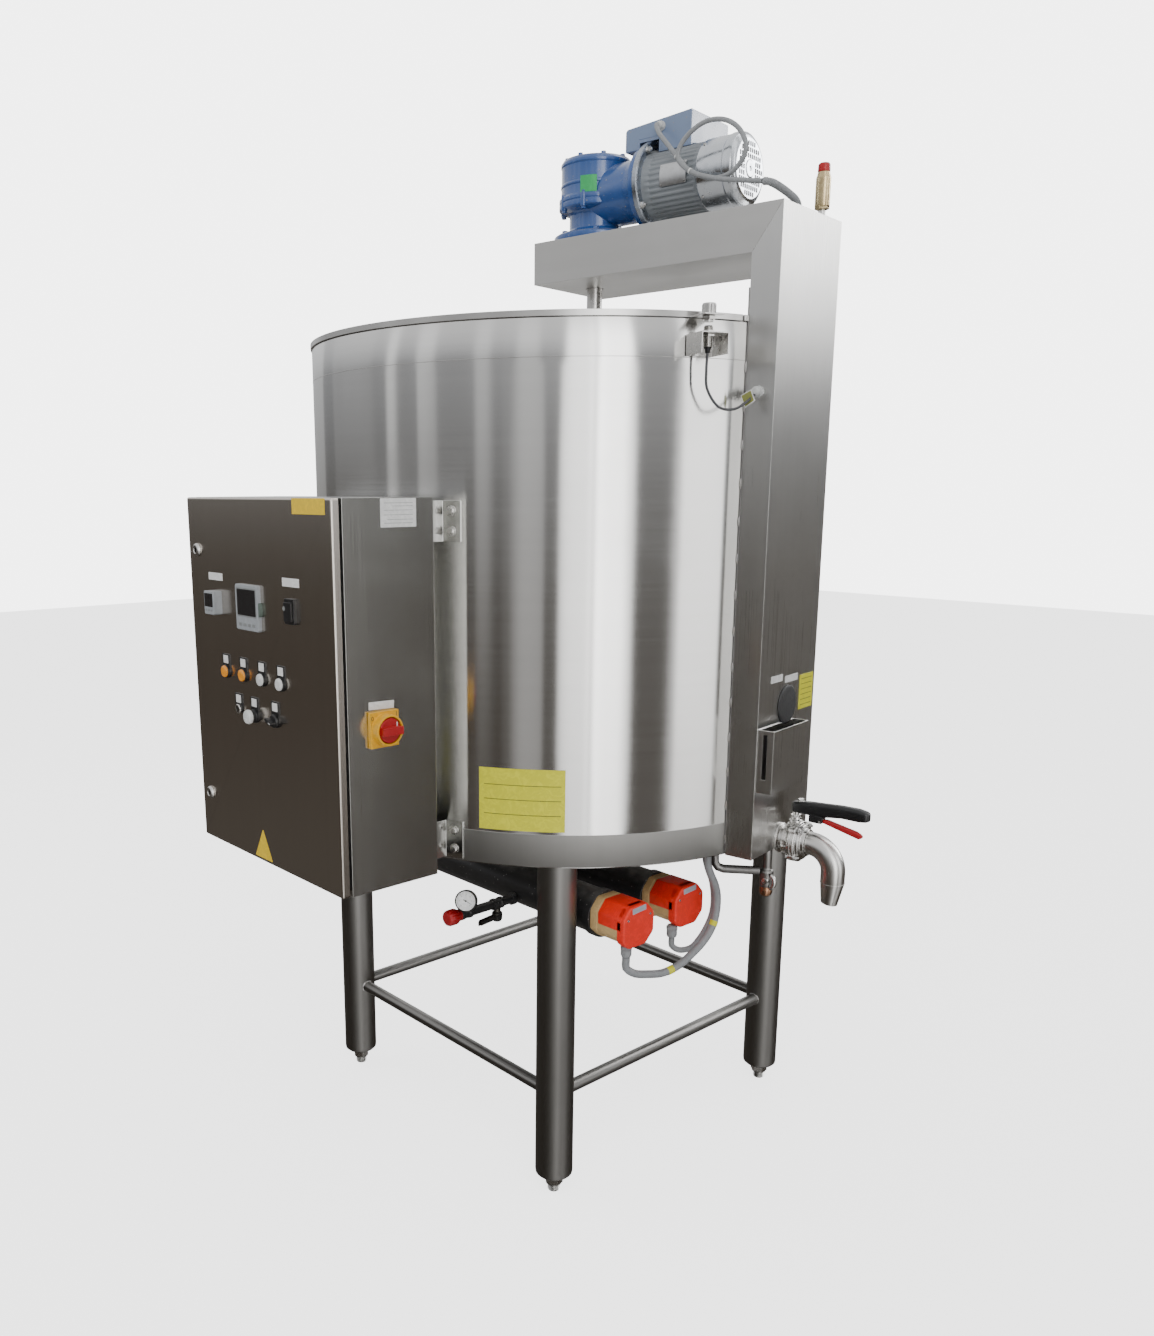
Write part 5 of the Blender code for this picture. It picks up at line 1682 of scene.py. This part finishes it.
@dataclass
class Cabinet:
    """Switch cabinet: its shell, wall bolts, bare labels and the main switch."""

    side: float = 0.287
    lug: float = 0.257

    def build(self) -> None:
        """Dresses the shell and adds what is on its right side."""
        softened("cabinet_body", PANEL, 0.0014)
        bolts = []
        for sign in (1, -1):
            x = sign * self.lug
            y = -np.sqrt((TANK_R + 0.0045) ** 2 - x ** 2)
            for z in (1.546, 1.588, 0.852, 0.894):
                bolts.append(bolt(0.0125, 0.0072, 0.0105).at(ROOT @ facing((x, y, 0), (x, y, z))))
        piece("lug_bolts", joined(bolts), BRIGHT)
        place = ROOT @ facing((1, 0, 0), (self.side, 0, 0))
        white = slab(rectangle(0.087, 0.056, 0.0015, (-0.7385, 1.587)), 0.0, 0.0005, 0.0002)
        tag = label(0.062, 0.016, 0.0, 0.0).at(shift(-0.79, 1.207, 0) @ spin(-0.035))
        piece("side_labels", (white + tag).at(place), PAPER)
        rules = [slab(rectangle(wide, 0.0007, 0.0, (-0.7385 + off, z)), 0.0003, 0.0007)
                 for z, wide, off in ((1.606, 0.07, 0.0), (1.6, 0.05, 0.01), (1.592, 0.07, 0.0),
                                      (1.583, 0.07, 0.0), (1.574, 0.062, 0.004), (1.567, 0.07, 0.0))]
        piece("side_label_rules", joined(rules).at(place), MID_GREY)
        self.switch()

    def switch(self) -> None:
        """Main switch: plate with a raised collar, the knob in it with a ribbed grip, and 0 and I marks."""
        softened("switch_plate", YELLOW, 0.0016)
        softened("switch_knob", RED, 0.0016)
        place = ROOT @ facing((1, 0, 0), (self.side, -0.7895, 1.159))
        off = letters("0", 0.013, shift(-0.03, 0.0245, 0.0104))
        on = letters("I", 0.013, shift(0.029, 0.0285, 0.0104))
        piece("switch_marks", (off + on).at(place), INK_AND_SHADE)
        pointer = slab(rectangle(0.0028, 0.009, 0.001, (0.0165, 0.012)), 0.0292, 0.0296)
        piece("switch_pointer", pointer.at(place), PAPER, body="main_switch")


@dataclass
class Door:
    """Cabinet door: panel, gasket, rails, locks, bare labels and everything that is set in it."""

    face: float = 0.896
    back: float = 0.8785
    centre: tuple[float, float] = (-0.013, 1.217)
    plane: Array = field(init=False)
    front: Array = field(init=False)

    def build(self) -> None:
        """Makes the panel, then what is set in it; local X runs right, Y up and Z out of the door."""
        self.plane = ROOT @ facing((0, -1, 0), (0, 0, 0))
        self.front = ROOT @ facing((0, -1, 0), (0, -self.face, 0))
        self.panel()
        self.locks()
        self.labels()
        self.controllers()
        self.lamps()
        self.buttons()

    def on_door(self, name: str, form: Form, finish: Finish, replaces: str = "") -> None:
        """Makes a form drawn on the door's front a finished piece of the door."""
        piece(name, form.at(self.front), finish, replaces, "door")

    def panel(self) -> None:
        """Folded panel with well rounded edges, a rubber gasket round its back and two rails inside."""
        outline = rectangle(0.5994, 0.7994, 0.0056, self.centre)
        sheet = slab(outline, self.back, self.face, 0.0045, 6)
        piece("door_panel", sheet.at(self.plane), DOOR_SHEET, "cabinet_door", "door", 50)
        wide, tall, x, y = 0.576, 0.776, *self.centre
        section = ((0.0, 0.879), (0.0, 0.873), (0.002, 0.8721), (0.01, 0.8721), (0.012, 0.873),
                   (0.012, 0.879))
        seal = [np.column_stack([rectangle(wide - 2 * pull, tall - 2 * pull, 0.004, (x, y)), np.full(20, z)])
                for pull, z in section]
        piece("door_gasket", woven(np.stack(seal), True, True).at(self.plane), RUBBER, body="door")
        rails = [slab(rectangle(0.022, 0.7, 0.002, (rail, y)), 0.864, 0.879, 0.001)
                 for rail in (-0.262, 0.225)]
        piece("door_rails", joined(rails).at(self.plane), ZINC, body="door")

    def locks(self) -> None:
        """Two round quarter-turn locks, each a bright cup with a dark key bit."""
        cup = lathed((0.007, 0.0015), (0.007, 0.0062), (0.0085, 0.0075), (0.012, 0.007), (0.015, 0.0025),
                     (0.015, 0.0), (0.007, 0.0), edge=0.0008, count=36)
        bit = slab(rectangle(0.0034, 0.012, 0.001), 0.0, 0.0048, 0.0005) + lathed(
            (0, 0), (0.0036, 0), (0.0036, 0.0048), (0, 0.0048), edge=0.0004, count=20)
        well = lathed((0, 0.0006), (0.0072, 0.0006), (0.0072, 0.0016), (0, 0.0016), edge=0.0002, count=24)
        spots = [shift(-0.27, z, 0) for z in (1.5, 0.93)]
        self.on_door("door_locks", joined([cup.at(spot) for spot in spots]), BRIGHT)
        self.on_door("lock_bits", joined([part.at(spot) for spot in spots for part in (bit, well)]), DARK)

    def labels(self) -> None:
        """Bare labels: two white, one yellow, and a plain yellow triangle."""
        white = [label(0.064, 0.0165, -0.1905, 1.444), label(0.065, 0.0175, 0.1305, 1.449)]
        self.on_door("door_labels", joined(white), PAPER)
        corner = eased([(-0.067, 0.825), (0.008, 0.825), (-0.0295, 0.893)], 0.004, 5)
        yellow = [label(0.119, 0.031, 0.2065, 1.6005), slab(corner, 0.0, 0.0005, 0.0002)]
        self.on_door("door_yellow_labels", joined(yellow), AMBER_VINYL)

    def controllers(self) -> None:
        """Large controller with a window, keys and a latch; a small one; a dark socket with a flap."""
        x, z = -0.041, 1.386
        body = slab(rectangle(0.096, 0.098, 0.006, (x, z)), 0.0, 0.0083, 0.0016, 4)
        self.on_door("large_controller_case", body, CASE_GREY, "main_controller")
        frame_ring = slab(rectangle(0.084, 0.062, 0.003, (x, z + 0.011)), 0.0078, 0.0086, 0.0004)
        self.on_door("large_controller_bezel", frame_ring, MID_GREY)
        window = slab(rectangle(0.078, 0.056, 0.002, (x, z + 0.011)), 0.008, 0.009, 0.0003)
        self.on_door("large_controller_window", window, DISPLAY)
        keys = [slab(rectangle(0.0125, 0.0065, 0.002, (x + off, z - 0.037)), 0.0078, 0.0092, 0.0005)
                for off in (-0.0285, -0.0095, 0.0095, 0.0285)]
        self.on_door("large_controller_keys", joined(keys), MID_GREY)
        share = np.linspace(-np.pi / 2, np.pi / 2, 13)
        latch = np.column_stack([x + 0.0475 + 0.0075 * np.cos(share), z - 0.002 + 0.015 * np.sin(share)])
        self.on_door("controller_latch", slab(latch, 0.0002, 0.0075, 0.001), LATCH_GREEN)
        x, z = -0.1885, 1.387
        body = slab(rectangle(0.044, 0.052, 0.0045, (x, z)), 0.0, 0.0213, 0.0018, 4)
        self.on_door("small_controller_case", body, CASE_GREY, "small_controller")
        window = slab(rectangle(0.0375, 0.03, 0.002, (x, z + 0.006)), 0.0208, 0.0217, 0.0003)
        self.on_door("small_controller_window", window, DISPLAY)
        keys = [slab(rectangle(0.0062, 0.004, 0.001, (x + off, z - 0.0165)), 0.0208, 0.0218, 0.0003)
                for off in (-0.0125, 0.0, 0.0125)]
        self.on_door("small_controller_keys", joined(keys), MID_GREY)
        x, z = 0.132, 1.391
        body = slab(rectangle(0.036, 0.052, 0.0035, (x, z)), 0.0, 0.0075, 0.001, 3)
        flap = slab(rectangle(0.029, 0.04, 0.003, (x, z - 0.001)), 0.007, 0.012, 0.001, 3)
        self.on_door("socket_body", body + flap, BLACK, "door_socket")
        screw = lathed((0, 0.007), (0.0052, 0.007), (0.0052, 0.0118), (0.0042, 0.0123), (0, 0.0123),
                       edge=0.0005, count=28).at(shift(x - 0.012, z + 0.006, 0))
        self.on_door("socket_screw", screw, MID_GREY)

    def carrier(self, x: float, z: float, middle: float) -> Form:
        """Legend plate behind a lamp or button: a rectangle that ends in a half circle under the lamp.

        Args:
            x: the lamp's place across the door.
            z: the lamp's height.
            middle: height of the legend's middle.

        Returns:
            The plate.
        """
        turn = np.linspace(np.pi, 2 * np.pi, 17)
        foot = np.column_stack([x + 0.0155 * np.cos(turn), z + 0.0155 * np.sin(turn)])
        head = eased([(x + 0.0155, z), (x + 0.0155, middle + 0.012), (x - 0.0155, middle + 0.012),
                      (x - 0.0155, z)], 0.002, 3, False)[1:-1]
        return slab(np.concatenate([foot, head]), 0.0, 0.003, 0.0006)

    def lamps(self) -> None:
        """Four lamps: black legend plates with bare white inserts, black bezels and ribbed domed lenses."""
        spots = [(-0.157, AMBER), (-0.079, AMBER), (0.001, MILK), (0.08, MILK)]
        z = 1.235
        self.on_door("lamp_carriers", joined([self.carrier(x, z, z + 0.027) for x, _ in spots]), BLACK)
        inserts = [slab(rectangle(0.0215, 0.018, 0.001, (x + 0.0005, z + 0.027)), 0.0028, 0.0034, 0.0002)
                   for x, _ in spots]
        self.on_door("lamp_inserts", joined(inserts), PAPER)
        bezel = lathed((0.0125, 0.0028), (0.0148, 0.0028), (0.0148, 0.0052), (0.0138, 0.0064),
                       (0.0125, 0.0064), edge=0.0005, count=40)
        self.on_door("lamp_bezels", joined([bezel.at(shift(x, z, 0)) for x, _ in spots]), BLACK)
        rows = ((0.0132, 0.003, 0.0001584), (0.0132, 0.0085, 0.0001584), (0.0124, 0.0102, 0.0001488),
                (0.0105, 0.0111, 0), (0.006, 0.0116, 0), (0.0002, 0.0117, 0))
        lens = fluted(rows, flutes(24, 72))
        for number, (x, finish) in enumerate(spots, 1):
            self.on_door(f"lamp_lens_{number}", lens.at(shift(x, z, 0)), finish, f"lamp_{number}")

    def buttons(self) -> None:
        """Second row: a key switch, a white mushroom button with a ribbed skirt and a black selector."""
        labels = ((-0.107, 1.1615, 0.0175), (-0.0375, 1.15, 0.0295), (0.0505, 1.1525, 0.0295))
        self.on_door("button_carriers", joined([self.carrier(x, z, z + up) for x, z, up in labels]), BLACK)
        inserts = [slab(rectangle(0.0215, 0.018, 0.001, (x + 0.0005, z + up)), 0.0028, 0.0034, 0.0002)
                   for x, z, up in labels]
        self.on_door("button_inserts", joined(inserts), PAPER)
        place = shift(-0.107, 1.156, 0)
        ring_form = lathed((0.007, 0.0028), (0.0112, 0.0028), (0.0112, 0.006), (0.0098, 0.0075),
                           (0.007, 0.0075), edge=0.0006, count=36)
        self.on_door("key_ring", ring_form.at(place), BRIGHT)
        core = lathed((0, 0.0028), (0.0072, 0.0028), (0.0072, 0.0066), (0, 0.0066), edge=0.0003, count=28)
        self.on_door("key_core", core.at(place), DARK)
        place = shift(-0.038, 1.15, 0)
        collar = lathed((0, 0.0), (0.0148, 0.0), (0.0148, 0.0062), (0.0125, 0.008), (0.0112, 0.008),
                        (0.0112, 0.0135), (0, 0.0135), edge=0.0006, count=40)
        self.on_door("button_collar", collar.at(place), BLACK)
        rows = ((0.0118, 0.0125, 0), (0.015, 0.014, 0.000405), (0.0158, 0.0165, 0.000711),
                (0.0158, 0.0205, 0.000711), (0.014, 0.0232, 0.000189), (0.009, 0.0243, 0),
                (0.0002, 0.0246, 0))
        self.on_door("button_cap", fluted(rows, flutes(12, 96)).at(place), MILK, "push_button")
        place = shift(0.05, 1.1525, 0)
        base = lathed((0, 0), (0.0148, 0), (0.0148, 0.007), (0.0128, 0.0098), (0, 0.0098), edge=0.0006,
                      count=40)
        grip = np.array([(-0.0135, -0.003), (0.0, -0.0052), (0.0135, -0.003), (0.0135, 0.003), (0.0, 0.0052),
                         (-0.0135, 0.003)])
        form = base + slab(eased(grip, 0.002, 3), 0.009, 0.022, 0.0014)
        self.on_door("selector_body", form.at(place @ spin(-0.35)), BLACK, "selector_switch")
        mark = slab(rectangle(0.0014, 0.0085, 0.0004, (0.0, 0.0075)), 0.0219, 0.0223)
        self.on_door("selector_mark", mark.at(place @ spin(-0.35 - np.pi / 2)), PAPER)


# ---- heaters ----


@dataclass
class Heaters:
    """Two immersion heaters: black housings, tan gasket housings, orange covers and their glands."""

    height: float = 0.682
    start: float = 0.4503
    ring: float = 0.474
    end: float = 0.553

    def build(self) -> None:
        """Dresses both heaters."""
        for word, y, back, gland in (("front", -0.294, 0.0, -0.021), ("rear", -0.111, -0.008, -0.039)):
            place = ROOT @ facing((1, 0, 0), (back, y, self.height))
            softened("heater_tube_" + word, BLACK_PIPE, 0.001)
            self.cap(word, place)
            self.nut(word, ROOT @ shift(back + self.end - 0.018, y + gland, self.height))

    def cap(self, word: str, place: Array) -> None:
        """Eight-sided housing, a cover over its upper part, and the end box that hangs lower.

        Local X is the part's Y, local Y is up and local Z runs along the heater.

        Args:
            word: front or rear.
            place: the heater's axis.
        """
        upper = [(0.05, 0.024), (0.027, 0.05), (-0.027, 0.05), (-0.05, 0.024)]
        lower = [(-0.05, -0.022), (-0.024, -0.045), (0.024, -0.045), (0.05, -0.022)]
        body = eased(upper + lower, 0.006, 4)
        housing = slab(inset(body, 0.0012), self.start, self.end - 0.012, 0.001)
        collar = slab(body, self.start, self.ring - 0.004, 0.0008, 3, both=True)
        piece("heater_housing_" + word, (housing + collar).at(place), TAN, "heater_cap_" + word)
        cover = eased(upper + [(-0.05, -0.004), (0.05, -0.004)], 0.003, 4)
        foot = eased(upper + [(-0.05, -0.03), (-0.03, -0.047), (0.024, -0.047), (0.05, -0.022)], 0.007, 5)
        form = slab(cover, self.ring, self.end - 0.01, 0.0012, 3, both=True)
        form = form + slab(foot, self.end - 0.0205, self.end, 0.0045, 5)
        piece("heater_cover_" + word, form.at(place), ORANGE)
        plate = slab(rectangle(0.044, 0.013, 0.001), 0.0, 0.0004, 0.0001)
        piece("heater_label_" + word, plate.at(place @ shift(-0.001, 0.0405, self.end) @ spin(0.07)),
              PLATE_GREY)
        screws = [cap_screw(0.0032, 0.0012).at(shift(x, 0.022, self.end - 0.0002)) for x in (-0.036, 0.036)]
        piece("heater_screws_" + word, joined(screws).at(place), ZINC)

    def nut(self, word: str, place: Array) -> None:
        """Cable gland under the end box: a hexagon, a ribbed cap nut and a short grommet.

        Args:
            word: front or rear.
            place: the gland's axis at the heater's height.
        """
        base = hexagon(0.0228, -0.053, -0.045, 0.0008)
        rows = ((0.0088, -0.071, 0), (0.0104, -0.07, 0), (0.0122, -0.0655, 0.000366),
                (0.0122, -0.0535, 0.000366), (0.0104, -0.053, 0), (0.0104, -0.042, 0))
        piece("heater_gland_" + word, (fluted(rows, flutes(20, 60)) + base).at(place), GLAND_GREY)


# ---- pressure line ----


@dataclass
class PressureLine:
    """Small pipe from the front heater with its gauge, relief cap and cock."""

    x: float = 0.1955
    end: float = -0.5165
    height: float = 0.66
    gauge: tuple[float, float, float] = (0.239, -0.5335, 0.711)
    look: tuple[float, float, float] = (0.62, -0.7, 0.3)

    def build(self) -> None:
        """Makes the fittings, the gauge and the cock."""
        softened("pressure_pipe", BLACK_PIPE)
        along = ROOT @ facing((0, -1, 0), (self.x, 0, self.height))
        tee = lathed((0.009, 0.484), (0.0138, 0.484), (0.0138, 0.492), (0.0125, 0.493), (0.0125, 0.506),
                     (0.0138, 0.507), (0.0138, 0.5162), (0.009, 0.5162), edge=0.0006, count=36)
        elbow = lathed((0.009, 0.386), (0.014, 0.386), (0.014, 0.394), (0.0125, 0.395), (0.0125, 0.407),
                       (0.014, 0.408), (0.014, 0.416), (0.009, 0.416), edge=0.0006, count=36)
        joint = lathed((0.009, 0.3455), (0.015, 0.3455), (0.015, 0.358), (0.009, 0.36), edge=0.0006, count=36)
        piece("pipe_fittings", (tee + elbow + joint).at(along), BLACK_PIPE)
        self.relief(along)
        self.dial()
        self.cock()

    def relief(self, along: Array) -> None:
        """Red cap with 16 lobes round its grip.

        Args:
            along: the pipe's axis.
        """
        rows = ((0.0002, 0, 0), (0.0138, 0, 0), (0.0138, 0.0085, 0), (0.0172, 0.011, 0.00018),
                (0.0184, 0.014, 0.0006), (0.0184, 0.033, 0.0006), (0.0165, 0.0375, 0.00024),
                (0.0135, 0.0396, 0), (0.006, 0.04, 0), (0.0002, 0.04, 0))
        grip = fluted(rows, 1 - 2 * flutes(16, 96)).at(along @ shift(0, 0, 0.0003 - self.end))
        piece("relief_grip", grip, RED, "relief_cap")

    def dial(self) -> None:
        """Round gauge: black case with a dark steel rim, white dial with ticks and numbers, needle and window.
        """
        softened("pressure_gauge", BLACK, 0.0008)
        place = ROOT @ facing(self.look, self.gauge)
        rim = lathed((0.0222, 0.0), (0.0222, 0.0022), (0.0236, 0.0032), (0.0252, 0.0024), (0.0256, 0.0),
                     edge=0.0003, count=64)
        piece("gauge_rim", rim.at(place), DARK)
        piece("gauge_dial", lathed((0, 0.0001), (0.0224, 0.0001), (0.0224, 0.0005), (0, 0.0005), edge=0.0001,
                                   count=64).at(place), PAPER)
        marks = []
        for k in range(31):
            long = 0.0034 if k % 5 == 0 else 0.0018
            tick = slab(rectangle(long, 0.0005, 0.0, (0.0205 - long / 2, 0)), 0.0004, 0.0007)
            marks.append(tick.at(spin(np.radians(225 - 9 * k))))
        for k in range(7):
            turn = np.radians(225 - 45 * k)
            marks.append(letters(str(k), 0.0044, shift(0.014 * np.cos(turn), 0.014 * np.sin(turn), 0.0006)))
        needle = np.array([(-0.006, -0.0009), (0.015, -0.0003), (0.0165, 0), (0.015, 0.0003),
                           (-0.006, 0.0009)])
        marks.append(slab(needle, 0.0009, 0.0013).at(spin(np.radians(-28))))
        marks.append(lathed((0, 0.0005), (0.0024, 0.0005), (0.0024, 0.0017), (0, 0.0018), edge=0.0003,
                            count=24))
        piece("gauge_marks", joined(marks).at(place), INK_AND_SHADE)
        piece("gauge_window", lathed((0, 0.0022), (0.0223, 0.0022), (0.0223, 0.0028), (0, 0.0028),
                                     edge=0.0001, count=64).at(place), WINDOW)

    def cock(self) -> None:
        """Small cock under the pipe: its body with a hexagon, and a wing lever with two rounded leaves."""
        softened("pressure_cock", DARK, 0.0008)
        place = ROOT @ shift(self.x, -0.4, 0)
        nut = hexagon(0.0235, 0.629, 0.635, 0.0006)
        wing = eased([(-0.006, -0.004), (0.0, -0.017), (0.006, -0.004), (0.006, 0.004), (0.0, 0.017),
                      (-0.006, 0.004)], 0.0035, 4)
        leaves = slab(wing, -0.0035, 0.0035, 0.0015, 3, both=True).at(shift(-0.006, -0.046, 0.62) @ spin(0.5))
        piece("cock_wing", (nut + leaves).at(place), DARK)


# ---- outlet ----


@dataclass
class Outlet:
    """Lever valve in the column's foot, its handle with a trigger, and the bent spout."""

    start: float = 0.6683
    y: float = -0.05
    z: float = 0.845
    hinge: float = 0.704

    def build(self) -> None:
        """Makes the valve, the handle and the spout's seams."""
        along = ARM @ facing((1, 0, 0), (0, self.y, self.z))
        self.valve(along)
        self.handle()
        self.trigger()
        softened("outlet_spout", SPOUT)
        seam = ring(0.02655, 0.0005, 64, 8).at(ARM @ shift(0.7986, self.y, 0.765))
        start = ring(0.0266, 0.0006, 64, 8, self.start + 0.0725).at(along)
        piece("spout_seams", seam + start, SPOUT)

    def valve(self, along: Array) -> None:
        """Ferrule, union nut and a pair of flanges held by four bolts, round an open bore.

        Args:
            along: the valve's axis.
        """
        x = self.start
        body = lathed((0.0235, x), (0.0345, x), (0.0345, x + 0.005), (0.0275, x + 0.0075),
                      (0.0268, x + 0.015), (0.03, x + 0.018), (0.0405, x + 0.02), (0.0405, x + 0.0335),
                      (0.038, x + 0.035), (0.0385, x + 0.0365), (0.0462, x + 0.0372), (0.047, x + 0.0385),
                      (0.047, x + 0.043), (0.045, x + 0.0438), (0.045, x + 0.0448), (0.047, x + 0.0456),
                      (0.047, x + 0.051), (0.0455, x + 0.0522), (0.0408, x + 0.0532), (0.04, x + 0.0595),
                      (0.0315, x + 0.062), (0.0308, x + 0.0695), (0.0235, x + 0.07), edge=0.001, count=72)
        rows = ((0.036, 0.0195, 0), (0.0405, 0.02, 0), (0.0425, 0.0215, 0.0016), (0.0425, 0.032, 0.0016),
                (0.0405, 0.0335, 0), (0.036, 0.034, 0))
        nut = fluted(rows, np.clip(8 * flutes(6, 144) - 6.4, 0, 1), True).at(shift(0, 0, x))
        lug = slab(polygon(24, 0.019), x + 0.0372, x + 0.052, 0.0012, 3, both=True)
        ears = around(lug, 4, 0.042, np.pi / 4)
        piece("valve_body", (body + nut + ears).at(along), BRIGHT, "outlet_valve", smooth=35)
        head = bolt(0.0105, 0.0058, 0.0072)
        tip = lathed((0, 0), (0.003, 0), (0.003, 0.004), (0, 0.0043), edge=0.0004, count=14)
        ends = [head.at(shift(0, 0, x + 0.052)), head.at(shift(0, 0, x + 0.0372) @ spin(np.pi, "X")),
                tip.at(shift(0, 0, x + 0.0585))]
        piece("valve_bolts", around(joined(ends), 4, 0.044, np.pi / 4).at(along), ZINC)
        neck = lathed((0, 0.884), (0.015, 0.884), (0.015, 0.894), (0.0115, 0.896), (0.0115, 0.902),
                      (0, 0.902), edge=0.0008, count=32)
        gland = hexagon(0.0215, 0.9, 0.9065, 0.0008)
        shaft = lathed((0, 0.906), (0.007, 0.906), (0.007, 0.9124), (0, 0.9124), edge=0.0004, count=24)
        piece("valve_neck", (neck + gland + shaft).at(ARM @ shift(self.hinge, self.y, 0)), BRIGHT)

    @staticmethod
    def bar(stations: Array, top: Sequence[Sequence[float]], foot: Sequence[Sequence[float]], half: Array,
            power: float = 0.55) -> Form:
        """A bar lofted along local X between an upper and a lower line.

        At each station the section is y = w sign(cos a) |cos a|^p, z = middle + h sign(sin a) |sin a|^p.

        Args:
            stations: places along X.
            top: points of the upper line.
            foot: points of the lower line.
            half: half width at each station.
            power: how square the section is.

        Returns:
            The bar.
        """
        top, foot = np.asarray(top), np.asarray(foot)
        high, low = np.interp(stations, *top.T), np.interp(stations, *foot.T)
        angle = bearings(32)
        c, s = np.cos(angle), np.sin(angle)
        wide = half[:, None] * np.sign(c) * np.abs(c) ** power
        tall = ((high + low) / 2)[:, None] + ((high - low) / 2)[:, None] * np.sign(s) * np.abs(s) ** power
        return lofted(np.stack([np.repeat(stations[:, None], 32, 1), wide, tall], -1))

    def handle(self) -> None:
        """Black grip with rounded ends, a bracket under it and a bolt on top of the hinge."""
        place = ARM @ shift(self.hinge, self.y, 0)
        share = (1 - np.cos(np.linspace(0, np.pi, 41))) / 2
        stations = -0.01 + share * 0.18
        half = 0.013 * (1 - 0.85 * (2 * share - 1) ** 24) * (0.9 + 0.1 * np.cos(2 * np.pi * share))
        top = [(-0.0105, 0.93), (-0.009, 0.935), (-0.004, 0.9378), (0.027, 0.9415), (0.105, 0.946),
               (0.1445, 0.9455), (0.163, 0.9418), (0.169, 0.9385), (0.1705, 0.932)]
        foot = [(-0.0105, 0.922), (-0.009, 0.914), (-0.005, 0.9128), (0.03, 0.911), (0.06, 0.9105),
                (0.08, 0.9135), (0.107, 0.917), (0.1465, 0.9165), (0.163, 0.9185), (0.169, 0.9215),
                (0.1705, 0.928)]
        bracket = eased([(0.034, 0.897), (0.0655, 0.897), (0.0655, 0.914), (0.034, 0.914)], 0.004, 3)
        turn = place @ facing((0, -1, 0), (0, 0, 0))
        form = self.bar(stations, top, foot, half).at(place)
        form = form + slab(bracket, -0.0108, 0.0108, 0.0015, 3, both=True).at(turn)
        piece("handle_grip", form, BLACK, "valve_handle", "lever", 60)
        screw = bolt(0.0125, 0.005, 0.0075).at(place @ shift(0.01, 0, 0.9385) @ spin(-0.08, "Y"))
        pin = lathed((0, -0.0122), (0.0028, -0.0122), (0.0028, 0.0122), (0, 0.0122), edge=0.0005, count=20)
        piece("handle_screws", screw + pin.at(turn @ shift(0.06, 0.901, 0)), ZINC, body="lever")

    def trigger(self) -> None:
        """Red lever under the grip, rounded at its tip."""
        place = ARM @ shift(self.hinge, self.y, 0)
        share = (1 - np.cos(np.linspace(0, np.pi, 25))) / 2
        stations = 0.066 + share * 0.0903
        half = 0.006 * (1 - 0.7 * share ** 20)
        top = [(0.0655, 0.9065), (0.074, 0.908), (0.1435, 0.8935), (0.1545, 0.888), (0.1565, 0.885)]
        foot = [(0.0655, 0.898), (0.1475, 0.8766), (0.154, 0.8795), (0.1565, 0.883)]
        form = self.bar(stations, top, foot, half, 0.7).at(place)
        piece("trigger_lever", form, RED, "valve_trigger", "lever", 60)


# ---- drain ----


@dataclass
class Drain:
    """Small drain beside the right leg: pipe, nipple, copper end and a curved lever."""

    x: float = 0.657
    y: float = -0.0866

    def build(self) -> None:
        """Makes the nipple, its end and the lever."""
        # Dark steel tone on the drain pipe: painted shade, as the pipe lies in shadow under the tank.
        softened("drain_pipe", SHADED_STEEL)
        place = ARM @ shift(self.x, self.y, 0)
        nipple = lathed((0, 0.734), (0.015, 0.734), (0.0155, 0.737), (0.0155, 0.769), (0.014, 0.7725),
                        (0.0112, 0.776), (0.0105, 0.78), (0.0105, 0.8232), (0, 0.8232), edge=0.0012, count=40)
        piece("drain_nipple", nipple.at(place), TUBE, "drain_cock")
        end = lathed((0, 0.7107), (0.0085, 0.7107), (0.013, 0.714), (0.015, 0.7195), (0.0152, 0.726),
                     (0.0142, 0.733), (0.0145, 0.7345), (0, 0.7345), edge=0.0014, count=40)
        piece("drain_end", end.at(place), COPPER)
        turn = np.linspace(-1.35, 1.25, 25)
        path = np.stack([0.013 + 0.0125 * np.cos(turn), np.full(25, -0.012), 0.75 + 0.0165 * np.sin(turn)], 1)
        lever = swept(path, 0.0042 * (1 + 0.25 * np.cos(turn * 1.1)), 14)
        hub = lathed((0, 0), (0.0075, 0), (0.0075, 0.009), (0, 0.0095), edge=0.0008, count=24).at(
            facing((0, -1, 0), (0.004, -0.008, 0.75)))
        piece("drain_lever", (lever + hub).at(place), BRIGHT)


# ---- main ----


def main() -> None:
    """Builds the stage, then the machine from the cables and the floor up."""
    logging.basicConfig(level=logging.INFO, format="%(message)s")
    Stage().build()
    Cables().build()
    Legs().build()
    Tank().build()
    LidSensor().build()
    Arm().build()
    Drive().build()
    Cabinet().build()
    Door().build()
    Heaters().build()
    PressureLine().build()
    Outlet().build()
    Drain().build()


if __name__ == "__main__":
    main()
